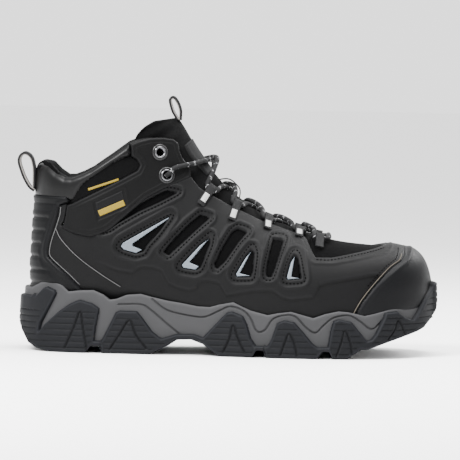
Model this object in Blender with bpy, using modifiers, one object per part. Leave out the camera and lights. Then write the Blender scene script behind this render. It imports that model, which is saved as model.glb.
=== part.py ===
"""A right-foot, mid-height steel toe work boot, as the pieces it is sewn, moulded and cemented from.

Every upper piece is a layer at its own depth above or below one base surface, which is lofted from
ribs that fan round the ankle.  Side outlines (X, Z) trim the layers.  The sole is cut from two plan
blocks by side outlines, and hollowed by the shape of the upper.

Lengths are millimetres from the rearmost point of the heel, and metres() turns them into world
metres: +X to the toe, +Y to the inner side of the foot, +Z up, ground at Z = 0, and the origin on
the ground in the middle of the heel lug.
"""
import math

import bmesh
import bpy
import numpy as np
from mathutils import Matrix, Vector

NAME = "steel_toe_work_boot"
ORIGIN = np.array([34.0, 0.0, 0.0])

# Ribs of the base surface, from the toe tip to the collar: where the rib meets the sole or heel line
# (x, z), where it meets the instep line (x, z), half width on the outer and the inner side, sideways
# shift, height of the widest place as a share of the rib, and fullness of the low and the high part.
RIBS = [
    (303.6, 45, 303.6, 45, 0, 0, 6, 0.45, 2.3, 2.3),
    (300.8, 34, 300.8, 62, 14.5, 14.5, 6, 0.45, 2.6, 2.3),
    (294, 28.5, 294, 73.5, 29, 29, 5.5, 0.42, 3.2, 2.4),
    (280, 24, 280, 79.3, 40.5, 40.5, 4, 0.4, 3.8, 2.5),
    (260, 20, 260, 80.6, 47.5, 47.5, 2.2, 0.38, 4.2, 2.5),
    (235, 17.5, 235, 83.5, 52, 51, 0.8, 0.35, 4.4, 2.3),
    (210, 17, 210, 90, 52.5, 51, -0.3, 0.32, 4.4, 2.1),
    (180, 18, 184, 99, 49.5, 45.5, -0.8, 0.29, 4.2, 2.0),
    (148, 21, 167, 110, 44.5, 39, -0.8, 0.28, 3.8, 2.0),
    (112, 25, 154.5, 119.5, 40.5, 36, -0.4, 0.3, 3.2, 2.0),
    (72, 28.5, 144, 133, 38, 36, 0, 0.32, 2.6, 2.0),
    (36, 30, 137, 142.7, 36.5, 36, 0, 0.35, 2.4, 2.0),
    (15, 37, 131.5, 150.5, 36, 36, 0, 0.37, 2.3, 2.0),
    (11, 56, 126.5, 158.5, 35.5, 35.5, 0, 0.39, 2.2, 2.0),
    (11.5, 78, 122, 166, 35, 35, 0, 0.42, 2.1, 2.0),
    (12.5, 100, 118, 172, 35.5, 35.5, 0, 0.44, 2.1, 2.0),
    (13, 118, 115, 177, 37, 37, 0, 0.46, 2.0, 2.0),
    (14, 139, 112.5, 182, 38.5, 38.5, 0, 0.48, 2.0, 2.0),
]
LAST = len(RIBS) - 1
ROWS = [0, 0.35, 0.7, 1, 1.5, 2, 3, 4, 4.5, 5, 6, 7, 8, 9]
ROWS += [9.5 + 0.5 * k for k in range(8)] + [14, 15, 16, 17]
STEP = 1 / 12

# Depths of the layers (top, thickness), along the base surface's outward direction.
MESH = (0.0, 1.5)
OVERLAY = (2.0, 1.65)
LEATHER = (1.9, 1.55)
STRIP = (1.5, 1.15)
TOE_GUARD = (2.6, 2.25)
HEEL_GUARD = (3.2, 2.85)
ON_OVERLAY = (2.9, 0.55)
CAP = (-1.9, 2.0)
GASKET = (-2.15, 1.6)
BOARD = (-1.9, 1.5)
LINING_TOP = -4.4
LINING_THICKNESS = 1.0
FOOTBED = (-6.0, 4.0)
COLLAR_PAD = 3.6
GAP = 0.35
SIDE_REACH = 90.0
SEAM = 0.25

# Side outlines (x, z).
COLLAR_TOP = [(-8, 139), (16, 139.6), (21, 138.4), (27, 132.6), (33.8, 128.3), (39, 128.3), (46, 130.8),
              (53, 134.2), (67.7, 144.1), (81, 153.6), (87.6, 156.2), (95, 158), (104, 158.2), (112, 157),
              (115.6, 154)]
FACING = [(116.7, 149), (119, 143.5), (122.5, 138.4), (125.2, 135.5), (125.6, 129.5)]
THROAT = [(132.8, 122), (153.8, 109.8), (179.3, 97.6), (200.2, 90.5), (211.5, 86.3), (215.3, 81)]
STRIP_TOP = [(39.6, 111.2), (41.5, 113.6), (43, 117.4), (46, 122.3), (51, 126.8), (62, 134.4), (69.3, 139.4),
             (76.7, 143), (81.5, 144)]
STRIP_END = [(86, 141.8), (88.2, 138), (86.5, 134)]
STRIP_LOW = [(76.9, 128.6), (40.1, 109.4)]
PANEL_LOW = [(36, 107.8), (35.4, 100.9), (34, 93.4), (31.9, 90.9), (37, 88.6), (42.8, 86.2), (53.2, 84.6),
             (63.5, 88), (68, 90.8), (93.6, 113.4), (106.8, 120.4), (125.8, 128.1)]
HEEL_EDGE = [(36.3, 114.3), (37.8, 110.2), (31, 107.6), (29.9, 100.1), (27.1, 90.4), (24.3, 81.4),
             (22.9, 74), (23.7, 69.5), (29.8, 63.7), (37.3, 57.2), (44.9, 49.9), (52, 42), (53.5, 40)]
TOE_EDGE = [(281.4, 95), (282.9, 81), (283.7, 77.2), (283, 73.5), (280.9, 69.7), (275, 65.9), (269.9, 61.4),
            (260.4, 51.5), (252.4, 41), (246, 29), (244, 21)]
VAMP_WINDOW = [(206, 93), (210.5, 88.2), (218.6, 72.6), (230.3, 72.4), (245, 74.9), (260, 77.8),
               (270.3, 80.3), (274, 90), (212, 97)]
LASTING_LINE = [(58, 40), (100, 38.5), (135, 34), (185, 30), (240, 30), (280, 33), (300, 40), (320, 44)]
SLOTS = [
    [(62, 89.7), (73.7, 99.6), (88.4, 108.8), (103.2, 116.9), (109.1, 119.2), (115.8, 117.8),
     (103.3, 111.2), (88.5, 104.3), (73.8, 95.9), (66.5, 91)],
    [(107.6, 74.9), (114.9, 84), (125.9, 95.3), (133.9, 101.8), (139.9, 99.6), (131.8, 92.4),
     (120.2, 81.5), (110.7, 72.7)],
    [(145.3, 66.8), (150, 77.3), (157.2, 89.3), (161.6, 92), (167.6, 89.5), (161.7, 82.7), (152.3, 69.1),
     (146.5, 63.5)],
    [(187.7, 84.6), (194.4, 84), (192.3, 76.5), (188.1, 63.1), (186, 58.6), (183.7, 58.5), (182.9, 62.2),
     (185.6, 76.4)],
]
TRIMS = [
    [(110.9, 100.3), (81.5, 83.5), (77.1, 80.8), (75.6, 78.2), (77.9, 76), (86.9, 73.5), (91.6, 76.1),
     (84.5, 78.7), (84.5, 80.5), (110.9, 99.2)],
    [(140.5, 85), (133.6, 79.7), (120.8, 65.7), (122, 63.5), (130.9, 62.3), (133.5, 64.8), (126.4, 67.7)],
    [(171.9, 76.8), (167.2, 71.1), (160.7, 59.8), (161.5, 58), (171.1, 58.9), (163.6, 60.6)],
    [(203.5, 73.3), (200.6, 68.8), (197.9, 58.4), (198.6, 56.7), (207.5, 57.8), (201.2, 58.8)],
]
PATCH = [(55.7, 110.2), (76.4, 120.2), (79.6, 107.6), (58.9, 97.6)]
COUNTER = [(-8, 40), (30, 38), (85, 37), (80, 52), (62, 76), (36, 94), (-8, 97)]
FLOOR_SIDE = [(-20, 0), (330, 0), (330, 46), (294, 36), (280, 31), (235, 24), (180, 24), (140, 27),
              (112, 30), (72, 35.5), (30, 36.5), (-20, 37)]
LINING_SLIT = [(96, 190), (93, 158), (96, 140), (113, 112), (140, 95.5), (170, 82.5), (205, 72.8), (226, 71),
               (226, 100)]

# Sole: plan outline (x, outer half width, inner half width), side outlines (x, z).
SOLE_PLAN = [(3.5, 0, 0), (5, 9.5, 9.5), (8, 15.5, 15.5), (13, 22, 22), (20, 28, 28), (32, 34, 33.5),
             (50, 37.5, 36.5), (75, 39.5, 36.5), (100, 41.5, 35.5), (125, 44, 36), (150, 48, 39.5),
             (175, 53, 46.5), (200, 56.5, 54), (220, 57, 57), (240, 55, 57), (260, 50.5, 54.5),
             (275, 44, 50.5), (288, 34.5, 44.5), (298, 23.5, 35), (304.5, 11, 23.5), (308, -6, 6)]
SIDE_WALL = 3.0
MIDSOLE_TOP = [(-10, 46.1), (9.3, 46.2), (15.9, 50), (22.6, 52.6), (25.6, 52.8), (33.1, 48.5), (37.6, 44.4),
               (46.5, 45.5), (56.2, 45.9), (63.6, 42.7), (68.2, 39.1), (73.4, 39.9), (80.7, 43),
               (91.1, 43.9),
               (99.3, 41.8), (110.5, 39.4), (121.7, 37.8), (132.9, 35.8), (141.8, 35.5), (148.4, 37.5),
               (158.8, 39.6), (164.1, 37.1), (171.6, 33.9), (184.2, 30.9), (191.6, 32.5), (201.3, 33.8),
               (211, 31.2), (217.7, 29.5), (226.6, 32.6), (236.2, 34.6), (243.6, 34), (255.6, 31.3),
               (263, 32.9), (274.1, 35.7), (283, 37.3), (295.5, 40), (304, 50), (320, 52)]
TREAD_TOP = [(-10, 11), (14, 10), (40, 8.5), (59, 8), (85, 8.5), (107, 11), (118, 14.5), (130, 14.8),
             (140, 11), (155, 8.6), (178, 7.6), (226, 7.6), (245, 9), (259, 12.5), (275, 17.5), (290, 24),
             (300, 31), (308, 40), (320, 44)]
POD_TOPS = [(-10, 40), (12.4, 40.3), (18.2, 46.3), (21.2, 47.5), (27.2, 45), (28.3, 42.8), (22.9, 32.3),
            (16.5, 20.3), (15.4, 14), (19.5, 19.8), (30.4, 29.7), (37.8, 35), (43.7, 37.7), (46.6, 38.5),
            (55.6, 36.1), (60.8, 32.5), (58.1, 17.5), (57.2, 8.8), (62.6, 8.8), (67.8, 19.5), (72.8, 30),
            (75.7, 31.2), (88.4, 31), (92.2, 26.6), (99.8, 16.4), (106.5, 11.6), (118, 15.2), (130, 15.5),
            (137, 13.2), (144.3, 21.3), (153.8, 31.8), (157.5, 33), (165.7, 29.8), (168.8, 23.9),
            (171.9, 13.6), (175.5, 8.4), (184.2, 8.4), (186.8, 13), (191, 25.3), (196.2, 27.6),
            (203.6, 26.2),
            (210.5, 18.9), (217.3, 10.9), (221, 8.4), (228.8, 8.4), (230.5, 20), (232.6, 27.5), (236.3, 29),
            (246, 27), (253.6, 18.2), (257.5, 13.2), (261, 14), (264, 17.9), (269.7, 29.2), (271.1, 33.7),
            (280.8, 34.6), (286.1, 30.2), (292.5, 28), (296.5, 34), (302.8, 45.3), (309.4, 54.3), (330, 55)]
GROUND_LINE = [(330, 50), (311.5, 44), (309.7, 34.3), (305.4, 27.5), (300.3, 22.2), (294.4, 19.2),
               (272.3, 12), (258, 6.8), (252.3, 6.8), (246.4, 2.6), (243, 0), (231.6, 0), (229.3, 5.2),
               (224.6, 5.2), (220.5, 0), (183.3, 0), (182, 5), (176.8, 5), (174, 0), (150, 0), (141.5, 5.4),
               (137.8, 8.4), (128.8, 11.6), (118.5, 11.1), (112.5, 7.2), (105.2, 3.2), (98, 0), (62.9, 0),
               (62, 5), (55.2, 5), (51, 0), (24, 0), (15, 1.6), (8, 5.6), (3, 14), (0, 22), (-10, 24)]
GROOVES = [((8, 52), 13), ((62, 104), 13), ((140, 262), 17)]
GROOVE_WIDTH = 3.5
GROOVE_DEPTH = 4.2
SHANK = (70, 190, 13)

# Lace: places on the base surface as (row, ring), by side view, from the ankle down to the toes.
LACE_RADIUS = 1.7
AGLET = (1.9, 18.0)
TAIL_PLACES = [(7.4, 0.58, -12.4), (8.0, 0.58, -12.4), (8.6, 0.57, -12.2), (9.1, 0.55, -12),
               (9.6, 0.52, -11),
               (10.1, 0.48, -10), (10.6, 0.42, -9.8), (11.1, 0.36, -9.8), (11.6, 0.29, -9.6)]
CROSSINGS = [(3.0, 4.4, 6.7, 5.6), (1.0, 1.5, 4.7, 4.0), (1.4, 1.6, 5.1, 4.3), (1.4, 1.6, 5.1, 4.3),
             (2.1, 2.3, 5.8, 5.8)]
THROUGH = 5.2
BRIDGE_ROW = 0.29
EYELET_PLACES = [(102.2, 147.4), (107.7, 130.4)]
LOOP_PLACES = [(9.75, 0.143), (8.42, 0.118), (7.05, 0.085), (6.15, 0.092), (5.56, 0.15)]
LOOP_HEIGHTS = [2.4, 2.4, 2.4, 2.4, 3.6]
LOOP_RADIUS = 2.75
WEBBING = (6.4, 0.9)
EYELET_PROFILE = [(2.4, -2.2), (2.4, 3.0), (3.1, 3.5), (4.4, 3.3), (5.3, 2.35), (3.0, 2.35), (3.0, -2.2)]
EYELET_BORE = 3.35

# Pull loops, as side outlines (x, z) of the strap's outer and inner faces, and their hinges.
HEEL_LOOP_OUTER = [(9.4, 115.6), (5.6, 119.4), (1.9, 125.8), (-0.4, 131.7), (-2, 136.9), (-2.1, 140.6),
                   (-0.6, 143.6), (1.6, 145.1), (3.8, 145.2), (6.8, 143.4), (8.8, 140.8), (9.8, 137.4),
                   (10.6, 131.9), (10.7, 115.6)]
HEEL_LOOP_INNER = [(9.2, 118.6), (7, 120.6), (3.4, 126.5), (1.1, 132.1), (-0.5, 137.1), (-0.6, 140.2),
                   (0.5, 142.5), (2, 143.5), (3.6, 143.6), (5.8, 142.4), (7.3, 140.2), (8.3, 137.1),
                   (9.1, 131.8)]
HEEL_LOOP_HINGE = (10.0, 116.6)
TONGUE_LOOP_OUTER = [(114.9, 170.4), (111, 177.6), (109, 184.9), (109.3, 187.2), (111.5, 188.4),
                     (113.8, 187.3), (116, 184.3), (117.6, 180.6), (118.4, 176.9), (118.3, 170.4)]
TONGUE_LOOP_INNER = [(116.4, 172.4), (112.6, 178.2), (110.6, 184.7), (111.6, 186.6), (113, 186.1),
                     (114.9, 183.5), (116.2, 180.2), (116.9, 176.6)]
TONGUE_LOOP_HINGE = (116.6, 170.9)
TONGUE_FOLD = (126.2, 157.2)
TONGUE_FOLD_SLOPE = 7.0
PULL_WIDTH = 16.0
KEEPER_PATH = [(9.6, -0.5), (9.52, 2.6), (9.4, 5.4), (9.2, 7.1), (8.75, 7.1), (8.55, 5.4), (8.43, 2.6),
               (8.35, -0.5)]


def metres(points):
    """World metres for millimetre points (x, y, z)."""
    return (np.asarray(points, float) - ORIGIN) * 0.001


def rib(row):
    """The rib values at a row, on a smooth curve through the table."""
    table = np.array(RIBS, float)
    mirror = table[1].copy()
    mirror[[0, 1, 2, 3]] = table[1][[2, 3, 0, 1]]
    mirror[[4, 5]] *= -1
    table = np.vstack([mirror, table, 2 * table[-1] - table[-2]])
    k = min(int(row), LAST - 1)
    t = row - k
    a, b, c, d = table[k:k + 4]
    return 0.5 * (2 * b + (c - a) * t + (2 * a - 5 * b + 4 * c - d) * t * t
                  + (3 * b - a - 3 * c + d) * t ** 3)


def rib_points(row, rings):
    """Points of one rib.  A ring is 0 on the instep line, and 1 or -1 on the sole or heel line."""
    foot_x, foot_z, top_x, top_z, outer, inner, shift, widest, low, high = rib(row)
    turn = np.linspace(0, math.pi, 121)
    up = np.cos(turn)
    power = 2 / np.where(up > 0, high, low)
    spread = np.sin(turn) ** power
    spread[-1] = 0
    lift = np.sign(up) * np.abs(up) ** power
    share = np.where(up > 0, widest + (1 - widest) * lift, widest * (1 + lift))
    rings = (np.asarray(rings, float) + 1) % 2 - 1
    found = np.zeros((len(rings), 3))
    for side, half in ((-1, outer), (1, inner)):
        line = np.stack([foot_x + (top_x - foot_x) * share, shift + side * half * spread,
                         foot_z + (top_z - foot_z) * share], 1)
        run = np.append(0, np.cumsum(np.linalg.norm(np.diff(line, axis=0), axis=1)))
        mine = rings * side >= 0
        for axis in range(3):
            found[mine, axis] = np.interp(np.abs(rings[mine]) * run[-1], run, line[:, axis])
    return found


def base_surface(rows, rings):
    """Points and outward directions of the base surface, as arrays (row, ring, xyz)."""
    rings = np.asarray(rings, float)
    points, normals = [], []
    for row in rows:
        near = min(max(row, 0.04), LAST - 0.04)
        along = rib_points(near + 0.04, rings) - rib_points(near - 0.04, rings)
        around = rib_points(near, rings + 0.012) - rib_points(near, rings - 0.012)
        normal = np.cross(around, along)
        points.append(rib_points(row, rings))
        normals.append(normal / np.linalg.norm(normal, axis=1)[:, None])
    normals = np.array(normals)
    if rows[0] == 0:
        normals[0] = (1, 0, 0)
    return np.array(points), normals


def on_surface(row, ring, height):
    """One point at a height over the base surface."""
    point, normal = base_surface([row], [ring])
    return point[0, 0] + height * normal[0, 0]


def place_of(x, z, side):
    """The (row, ring) whose base surface point has this side view, on one side of the foot."""
    rows, rings = np.arange(0.5, LAST, 0.05), side * np.arange(0.02, 0.9, 0.005)
    points = np.array([rib_points(row, rings) for row in rows])
    far = (points[:, :, 0] - x) ** 2 + (points[:, :, 2] - z) ** 2
    row, ring = np.unravel_index(far.argmin(), far.shape)
    return float(rows[row]), float(rings[ring])


def ring_steps(first, last):
    """Ring values at every whole step, from first to last step."""
    return [STEP * k for k in range(first, last + 1)]


def rows_between(low, high):
    """The shared rows from low to high, with both ends."""
    return [low] + [row for row in ROWS if low < row < high] + [high]


def sheet_faces(rows, columns, pole, closed):
    """Faces of a grid of points: outward, with row 0 drawn to one point, or the ring closed."""
    def index(row, column):
        column = column % columns if closed else column
        if pole:
            return 0 if row == 0 else 1 + (row - 1) * columns + column
        return row * columns + column

    faces = []
    for row in range(rows - 1):
        for column in range(columns if closed else columns - 1):
            face = [index(row, column), index(row, column + 1)]
            face += [index(row + 1, column + 1), index(row + 1, column)]
            faces.append([v for k, v in enumerate(face) if v != face[k - 1]])
    return faces


def sheet(rows, rings, height, closed=False):
    """Points and faces of the base surface moved out by a height, a number or one for each point."""
    points, normals = base_surface(rows, rings)
    height = height(points, np.asarray(rings)) if callable(height) else height
    moved = points + normals * np.broadcast_to(height, points.shape[:2])[:, :, None]
    pole = rows[0] == 0
    flat = moved.reshape(-1, 3)
    flat = flat[len(rings) - 1:] if pole else flat
    return flat, sheet_faces(len(rows), len(rings), pole, closed)


def material(name, colour, roughness, metallic=0.0):
    """A Principled BSDF material."""
    made = bpy.data.materials.new(name)
    made.use_nodes = True
    shader = made.node_tree.nodes["Principled BSDF"]
    shader.inputs["Base Color"].default_value = (*colour, 1)
    shader.inputs["Roughness"].default_value = roughness
    shader.inputs["Metallic"].default_value = metallic
    made.diffuse_color = (*colour, 1)
    return made


def collection(name):
    made = bpy.data.collections.new(name)
    bpy.context.scene.collection.children.link(made)
    return made


def add(name, points, faces, finish, folder=None):
    """A mesh object from millimetre points."""
    mesh = bpy.data.meshes.new(name)
    mesh.from_pydata([tuple(p) for p in metres(points)], [], faces)
    mesh.update()
    made = bpy.data.objects.new(name, mesh)
    (folder or PARTS).objects.link(made)
    if finish:
        mesh.materials.append(finish)
    return made


def modifier(piece, kind, **values):
    made = piece.modifiers.new(kind.title(), kind)
    for key, value in values.items():
        setattr(made, key, value)


def cut(piece, cutter, operation="DIFFERENCE"):
    modifier(piece, "BOOLEAN", object=cutter, operation=operation, solver="EXACT")


def skin(name, rows, rings, layer, finish, closed=False):
    """A layer of even thickness, following the base surface."""
    top, thickness = layer
    return loft(name, rows, rings, top, top - thickness, finish, closed)


def loft(name, rows, rings, top, bottom, finish, closed=False, folder=None):
    """A layer between two unlike surfaces: both sheets, joined round their free edges."""
    upper, faces = sheet(rows, rings, top, closed)
    lower, _ = sheet(rows, rings, bottom, closed)
    edges = {}
    for face in faces:
        for k, v in enumerate(face):
            edges[(face[k - 1], v)] = 1
    count = len(upper)
    rim = [[b, a, a + count, b + count] for a, b in edges if (b, a) not in edges]
    under = [[v + count for v in reversed(face)] for face in faces]
    return split_faces(add(name, np.vstack([upper, lower]), faces + under + rim, finish, folder))


def split_faces(piece):
    """Turn every face into triangles, so that layers bend along the same lines."""
    mesh = bmesh.new()
    mesh.from_mesh(piece.data)
    bmesh.ops.triangulate(mesh, faces=mesh.faces)
    mesh.to_mesh(piece.data)
    mesh.free()
    return piece


def as_mesh(piece, name, folder):
    """Replace a curve object by its mesh, with the caps welded."""
    bpy.context.view_layer.update()
    depsgraph = bpy.context.evaluated_depsgraph_get()
    mesh = bpy.data.meshes.new_from_object(piece.evaluated_get(depsgraph))
    welded = bmesh.new()
    welded.from_mesh(mesh)
    bmesh.ops.remove_doubles(welded, verts=welded.verts, dist=1e-6)
    bmesh.ops.recalc_face_normals(welded, faces=welded.faces)
    welded.to_mesh(mesh)
    welded.free()
    made = bpy.data.objects.new(name, mesh)
    made.matrix_world = piece.matrix_world.copy()
    folder.objects.link(made)
    bpy.data.objects.remove(piece)
    return made


def prism(name, outlines, low, high, along="Y", finish=None):
    """A flat outline, side view (x, z) or plan (x, y), thickened from low to high along Y or Z."""
    curve = bpy.data.curves.new(name, "CURVE")
    curve.dimensions = "2D"
    curve.fill_mode = "BOTH"
    curve.extrude = (high - low) / 2 * 0.001
    for outline in outlines:
        spline = curve.splines.new("POLY")
        spline.points.add(len(outline) - 1)
        spline.use_cyclic_u = True
        for point, (x, other) in zip(spline.points, outline):
            point.co = ((x - ORIGIN[0]) * 0.001, other * 0.001, 0, 1)
    made = bpy.data.objects.new(name + "_curve", curve)
    folder = PARTS if finish else CUTTERS
    folder.objects.link(made)
    middle = (low + high) / 2 * 0.001
    if along == "Y":
        made.rotation_euler.x = math.pi / 2
        made.location.y = middle
    else:
        made.location.z = middle
    made = as_mesh(made, name, folder)
    if finish:
        made.data.materials.append(finish)
    else:
        hide(made)
    return made


def hide(cutter):
    cutter.hide_render = True
    cutter.display_type = "WIRE"


def grown(outline, distance):
    """The outline moved outwards by a distance."""
    points = np.array(outline, float)
    after, before = np.roll(points, -1, axis=0), np.roll(points, 1, axis=0)
    area = np.sum(points[:, 0] * after[:, 1] - after[:, 0] * points[:, 1])
    out = np.zeros_like(points)
    for first, second in ((before, points), (points, after)):
        run = second - first
        run /= np.linalg.norm(run, axis=1)[:, None]
        out += np.sign(area) * np.stack([run[:, 1], -run[:, 0]], 1)
    length = np.maximum(np.linalg.norm(out, axis=1), 0.6)
    return [tuple(p) for p in points + out * (2 * distance / length ** 2)[:, None]]


def rounded(points, steps=3, closed=False):
    """More points on a smooth curve through these."""
    table = np.array(points, float)
    ends = (table[-1:], table[:2]) if closed else (table[:1], table[-1:])
    table = np.vstack([ends[0], table, ends[1]])
    made = []
    for a, b, c, d in zip(table, table[1:], table[2:], table[3:]):
        for t in np.arange(steps) / steps:
            made.append(0.5 * (2 * b + (c - a) * t + (2 * a - 5 * b + 4 * c - d) * t * t
                               + (3 * b - a - 3 * c + d) * t ** 3))
    return made if closed else made + [table[-2]]


def span(side):
    """How far along Y the cutters of one side reach."""
    return (-SIDE_REACH, -SEAM) if side < 0 else (SEAM, SIDE_REACH)


def strap(name, path, across, width, thickness, finish):
    """A flat band along a path, with across the direction of its width."""
    path, across = np.array(path), np.asarray(across) / np.linalg.norm(across)
    run = np.gradient(path, axis=0)
    run /= np.linalg.norm(run, axis=1)[:, None]
    out = np.cross(run, across)
    out /= np.linalg.norm(out, axis=1)[:, None]
    corners = [(-1, -1), (1, -1), (1, 1), (-1, 1)]
    points = np.array([p + a * across * width / 2 + b * o * thickness / 2
                       for p, o in zip(path, out) for a, b in corners])
    faces = [[0, 1, 2, 3]]
    for k in range(len(path) - 1):
        faces += [[4 * k + (c + 1) % 4, 4 * k + c, 4 * k + 4 + c, 4 * k + 4 + (c + 1) % 4] for c in range(4)]
    last = 4 * (len(path) - 1)
    faces.append([last + 3, last + 2, last + 1, last])
    return outward(add(name, points, faces, finish))


def outward(piece):
    """Turn the faces of a closed piece outwards."""
    mesh = bmesh.new()
    mesh.from_mesh(piece.data)
    bmesh.ops.recalc_face_normals(mesh, faces=mesh.faces)
    mesh.to_mesh(piece.data)
    mesh.free()
    return piece


def hinge(piece, x, z):
    """Move a piece's origin onto its hinge, which runs along Y."""
    pivot = metres((x, 0, z))
    piece.data.transform(Matrix.Translation(-pivot))
    piece.location = pivot


# ---------------------------------------------------------------------------------------------------
# Sole unit
# ---------------------------------------------------------------------------------------------------

def plan_outline(extra):
    """The sole's plan outline, moved outwards."""
    outer = [(x, -half) for x, half, _ in SOLE_PLAN]
    inner = [(x, half) for x, _, half in SOLE_PLAN[-2:0:-1]]
    return grown(rounded(outer[:-1] + [(308, 6.0)] + inner, 2, closed=True), extra)


def block(name, extra_low, extra_high, low, high, finish, folder):
    """A block of the sole's plan outline, with sides that lean in."""
    levels = ((extra_low, low), (extra_high, high))
    rings = [[(x, y, z) for x, y in plan_outline(extra)] for extra, z in levels]
    count = len(rings[0])
    faces = [list(range(count)), list(range(2 * count - 1, count - 1, -1))]
    faces += [[k, (k + 1) % count, count + (k + 1) % count, count + k] for k in range(count)]
    return outward(add(name, rings[0] + rings[1], faces, finish, folder))


def upper_envelope(name):
    """The space that the finished upper takes in the sole."""
    rows = rows_between(0, LAST)

    def height(points, rings):
        _, normals = base_surface(rows, rings)
        side = np.interp(points[:, :, 0], [62, 76, 235, 262], [3.5, 2.5, 2.5, 3.0])
        down = np.clip((-normals[:, :, 2] - 0.86) / 0.1, 0, 1)
        down = down * (np.abs(rings) > 0.8)
        return side * (1 - down) + 0.4 * down

    points, faces = sheet(rows, ring_steps(-12, 11), height, closed=True)
    count = len(points)
    faces.append(list(range(count - 1, count - 25, -1)))
    made = split_faces(outward(add(name, points, faces, None, CUTTERS)))
    hide(made)
    return made


def sole_unit():
    rubber = material("rubber", (0.035, 0.038, 0.042), 0.75)
    foam = material("midsole_foam", (0.16, 0.16, 0.165), 0.7)
    midsole = block("midsole", -0.2, -2.2, -2, 60, foam, PARTS)
    shape = MIDSOLE_TOP + [(x, z + GAP) for x, z in reversed(TREAD_TOP)]
    cut(midsole, prism("midsole_side", [shape], -SIDE_REACH, SIDE_REACH), "INTERSECT")
    cut(midsole, upper_envelope("upper_space"))
    first, last, half = SHANK
    bar = [(first, -half), (last, -half), (last, half), (first, half)]
    floor = [(x, float(np.interp(x, [72, 112, 148, 180, 210], [28.5, 25, 21, 18, 17])))
             for x in range(first, last + 1, 20)]
    for name, low, high, extra in (("shank_pocket", 3.0, -1.5, 0.4), ("shank", 2.6, 0.75, 0)):
        strip = [(x, z - low) for x, z in floor] + [(x, z - high) for x, z in reversed(floor)]
        strip[0], strip[-1] = (first - extra, strip[0][1]), (first - extra, strip[-1][1])
        middle = len(floor)
        strip[middle - 1] = (last + extra, strip[middle - 1][1])
        strip[middle] = (last + extra, strip[middle][1])
        finish = material("shank_composite", (0.3, 0.3, 0.3), 0.5) if name == "shank" else None
        made = prism(name, [strip], -half - extra, half + extra, finish=finish)
        if not finish:
            cut(midsole, made)
    outsole = block("outsole", SIDE_WALL + 1.5, SIDE_WALL - 1.5, -2, 60, rubber, PARTS)
    cut(outsole, prism("outsole_side", [POD_TOPS + GROUND_LINE], -SIDE_REACH, SIDE_REACH), "INTERSECT")
    inside = block("midsole_space", 0.1, -1.9, -3, 61, None, CUTTERS)
    hide(inside)
    above = [(-20, 70), (330, 70)] + list(reversed(TREAD_TOP))
    cut(inside, prism("above_tread", [above], -SIDE_REACH, SIDE_REACH), "INTERSECT")
    cut(outsole, inside)
    cut(outsole, upper_envelope("tread_upper_space"))
    for number, ((first, last), offset) in enumerate(GROOVES):
        for side in (-1, 1):
            low = side * offset - GROOVE_WIDTH / 2
            outline = [(first, -5), (last, -5), (last, GROOVE_DEPTH), (first, GROOVE_DEPTH)]
            cut(outsole, prism(f"groove_{number}_{side}", [outline], low, low + GROOVE_WIDTH))


# ---------------------------------------------------------------------------------------------------
# Inner pieces
# ---------------------------------------------------------------------------------------------------

def pad_depth(points, rings):
    """How much deeper the lining lies behind the collar's foam."""
    high = np.clip((points[:, :, 2] - 102) / 10, 0, 1)
    back = np.clip((np.abs((rings + 1) % 2 - 1) - 0.34) / 0.15, 0, 1)
    return COLLAR_PAD * high * back[None, :]


def inner_pieces():
    steel = material("toe_cap_steel", (0.45, 0.46, 0.48), 0.35, 1.0)
    board = material("board", (0.45, 0.36, 0.22), 0.85)
    fabric = material("lining_fabric", (0.02, 0.02, 0.02), 0.95)
    foam = material("soft_foam", (0.25, 0.25, 0.23), 0.95)
    plastic = material("stiffener_plastic", (0.3, 0.3, 0.28), 0.5)
    rubber = material("gasket_rubber", (0.1, 0.1, 0.1), 0.8)
    skin("steel_toe_cap", rows_between(0, 4.5), ring_steps(-8, 8), CAP, steel)
    skin("toe_cap_gasket", [4.56, 4.8], ring_steps(-7, 7), GASKET, rubber)
    skin("metatarsal_guard", rows_between(7, 9), ring_steps(-2, 2), (-5.9, 2.4), plastic)
    for name, last, layer, rise, finish in (("insole_board", 11.4, BOARD, 0, board),
                                            ("footbed", 11.2, FOOTBED, 9, foam)):
        floor = skin(name, rows_between(1.5, last), ring_steps(9, 15), layer, finish)
        outline = FLOOR_SIDE[:2] + [(x, z + rise) for x, z in FLOOR_SIDE[2:]]
        cut(floor, prism(name + "_side", [outline], -SIDE_REACH, SIDE_REACH), "INTERSECT")
    counter = skin("heel_counter", rows_between(8.5, 15.3), ring_steps(5, 19), CAP, plastic)
    cut(counter, prism("counter_side", [COUNTER], -SIDE_REACH, SIDE_REACH), "INTERSECT")
    lining = loft("lining", rows_between(0, LAST), ring_steps(-12, 11),
                  lambda p, r: LINING_TOP - pad_depth(p, r),
                  lambda p, r: LINING_TOP - LINING_THICKNESS - pad_depth(p, r), fabric, closed=True)
    above = [(-20, 200)] + [(x, z - 0.4) for x, z in COLLAR_TOP] + [(140, 154), (160, 200)]
    cut(lining, prism("above_collar", [above], -SIDE_REACH, SIDE_REACH))
    cut(lining, prism("lining_slit", [LINING_SLIT], -SIDE_REACH, SIDE_REACH))
    pad = loft("collar_foam", rows_between(11.5, LAST), ring_steps(4, 20), -2.0,
               lambda p, r: -3.5 - 0.8 * pad_depth(p, r), foam)
    region = [(-20, 99), (40, 99), (70, 110), (90, 130), (92, 154)]
    region += [(x, z - 1.0) for x, z in reversed(COLLAR_TOP) if x < 90]
    cut(pad, prism("foam_side", [region], -SIDE_REACH, SIDE_REACH), "INTERSECT")


# ---------------------------------------------------------------------------------------------------
# Upper
# ---------------------------------------------------------------------------------------------------

def side_of(side):
    return "lateral" if side < 0 else "medial"


def ring_side(side, first, last):
    """Whole ring steps on one side, in rising order."""
    return ring_steps(first, last) if side > 0 else ring_steps(-last, -first)


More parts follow.
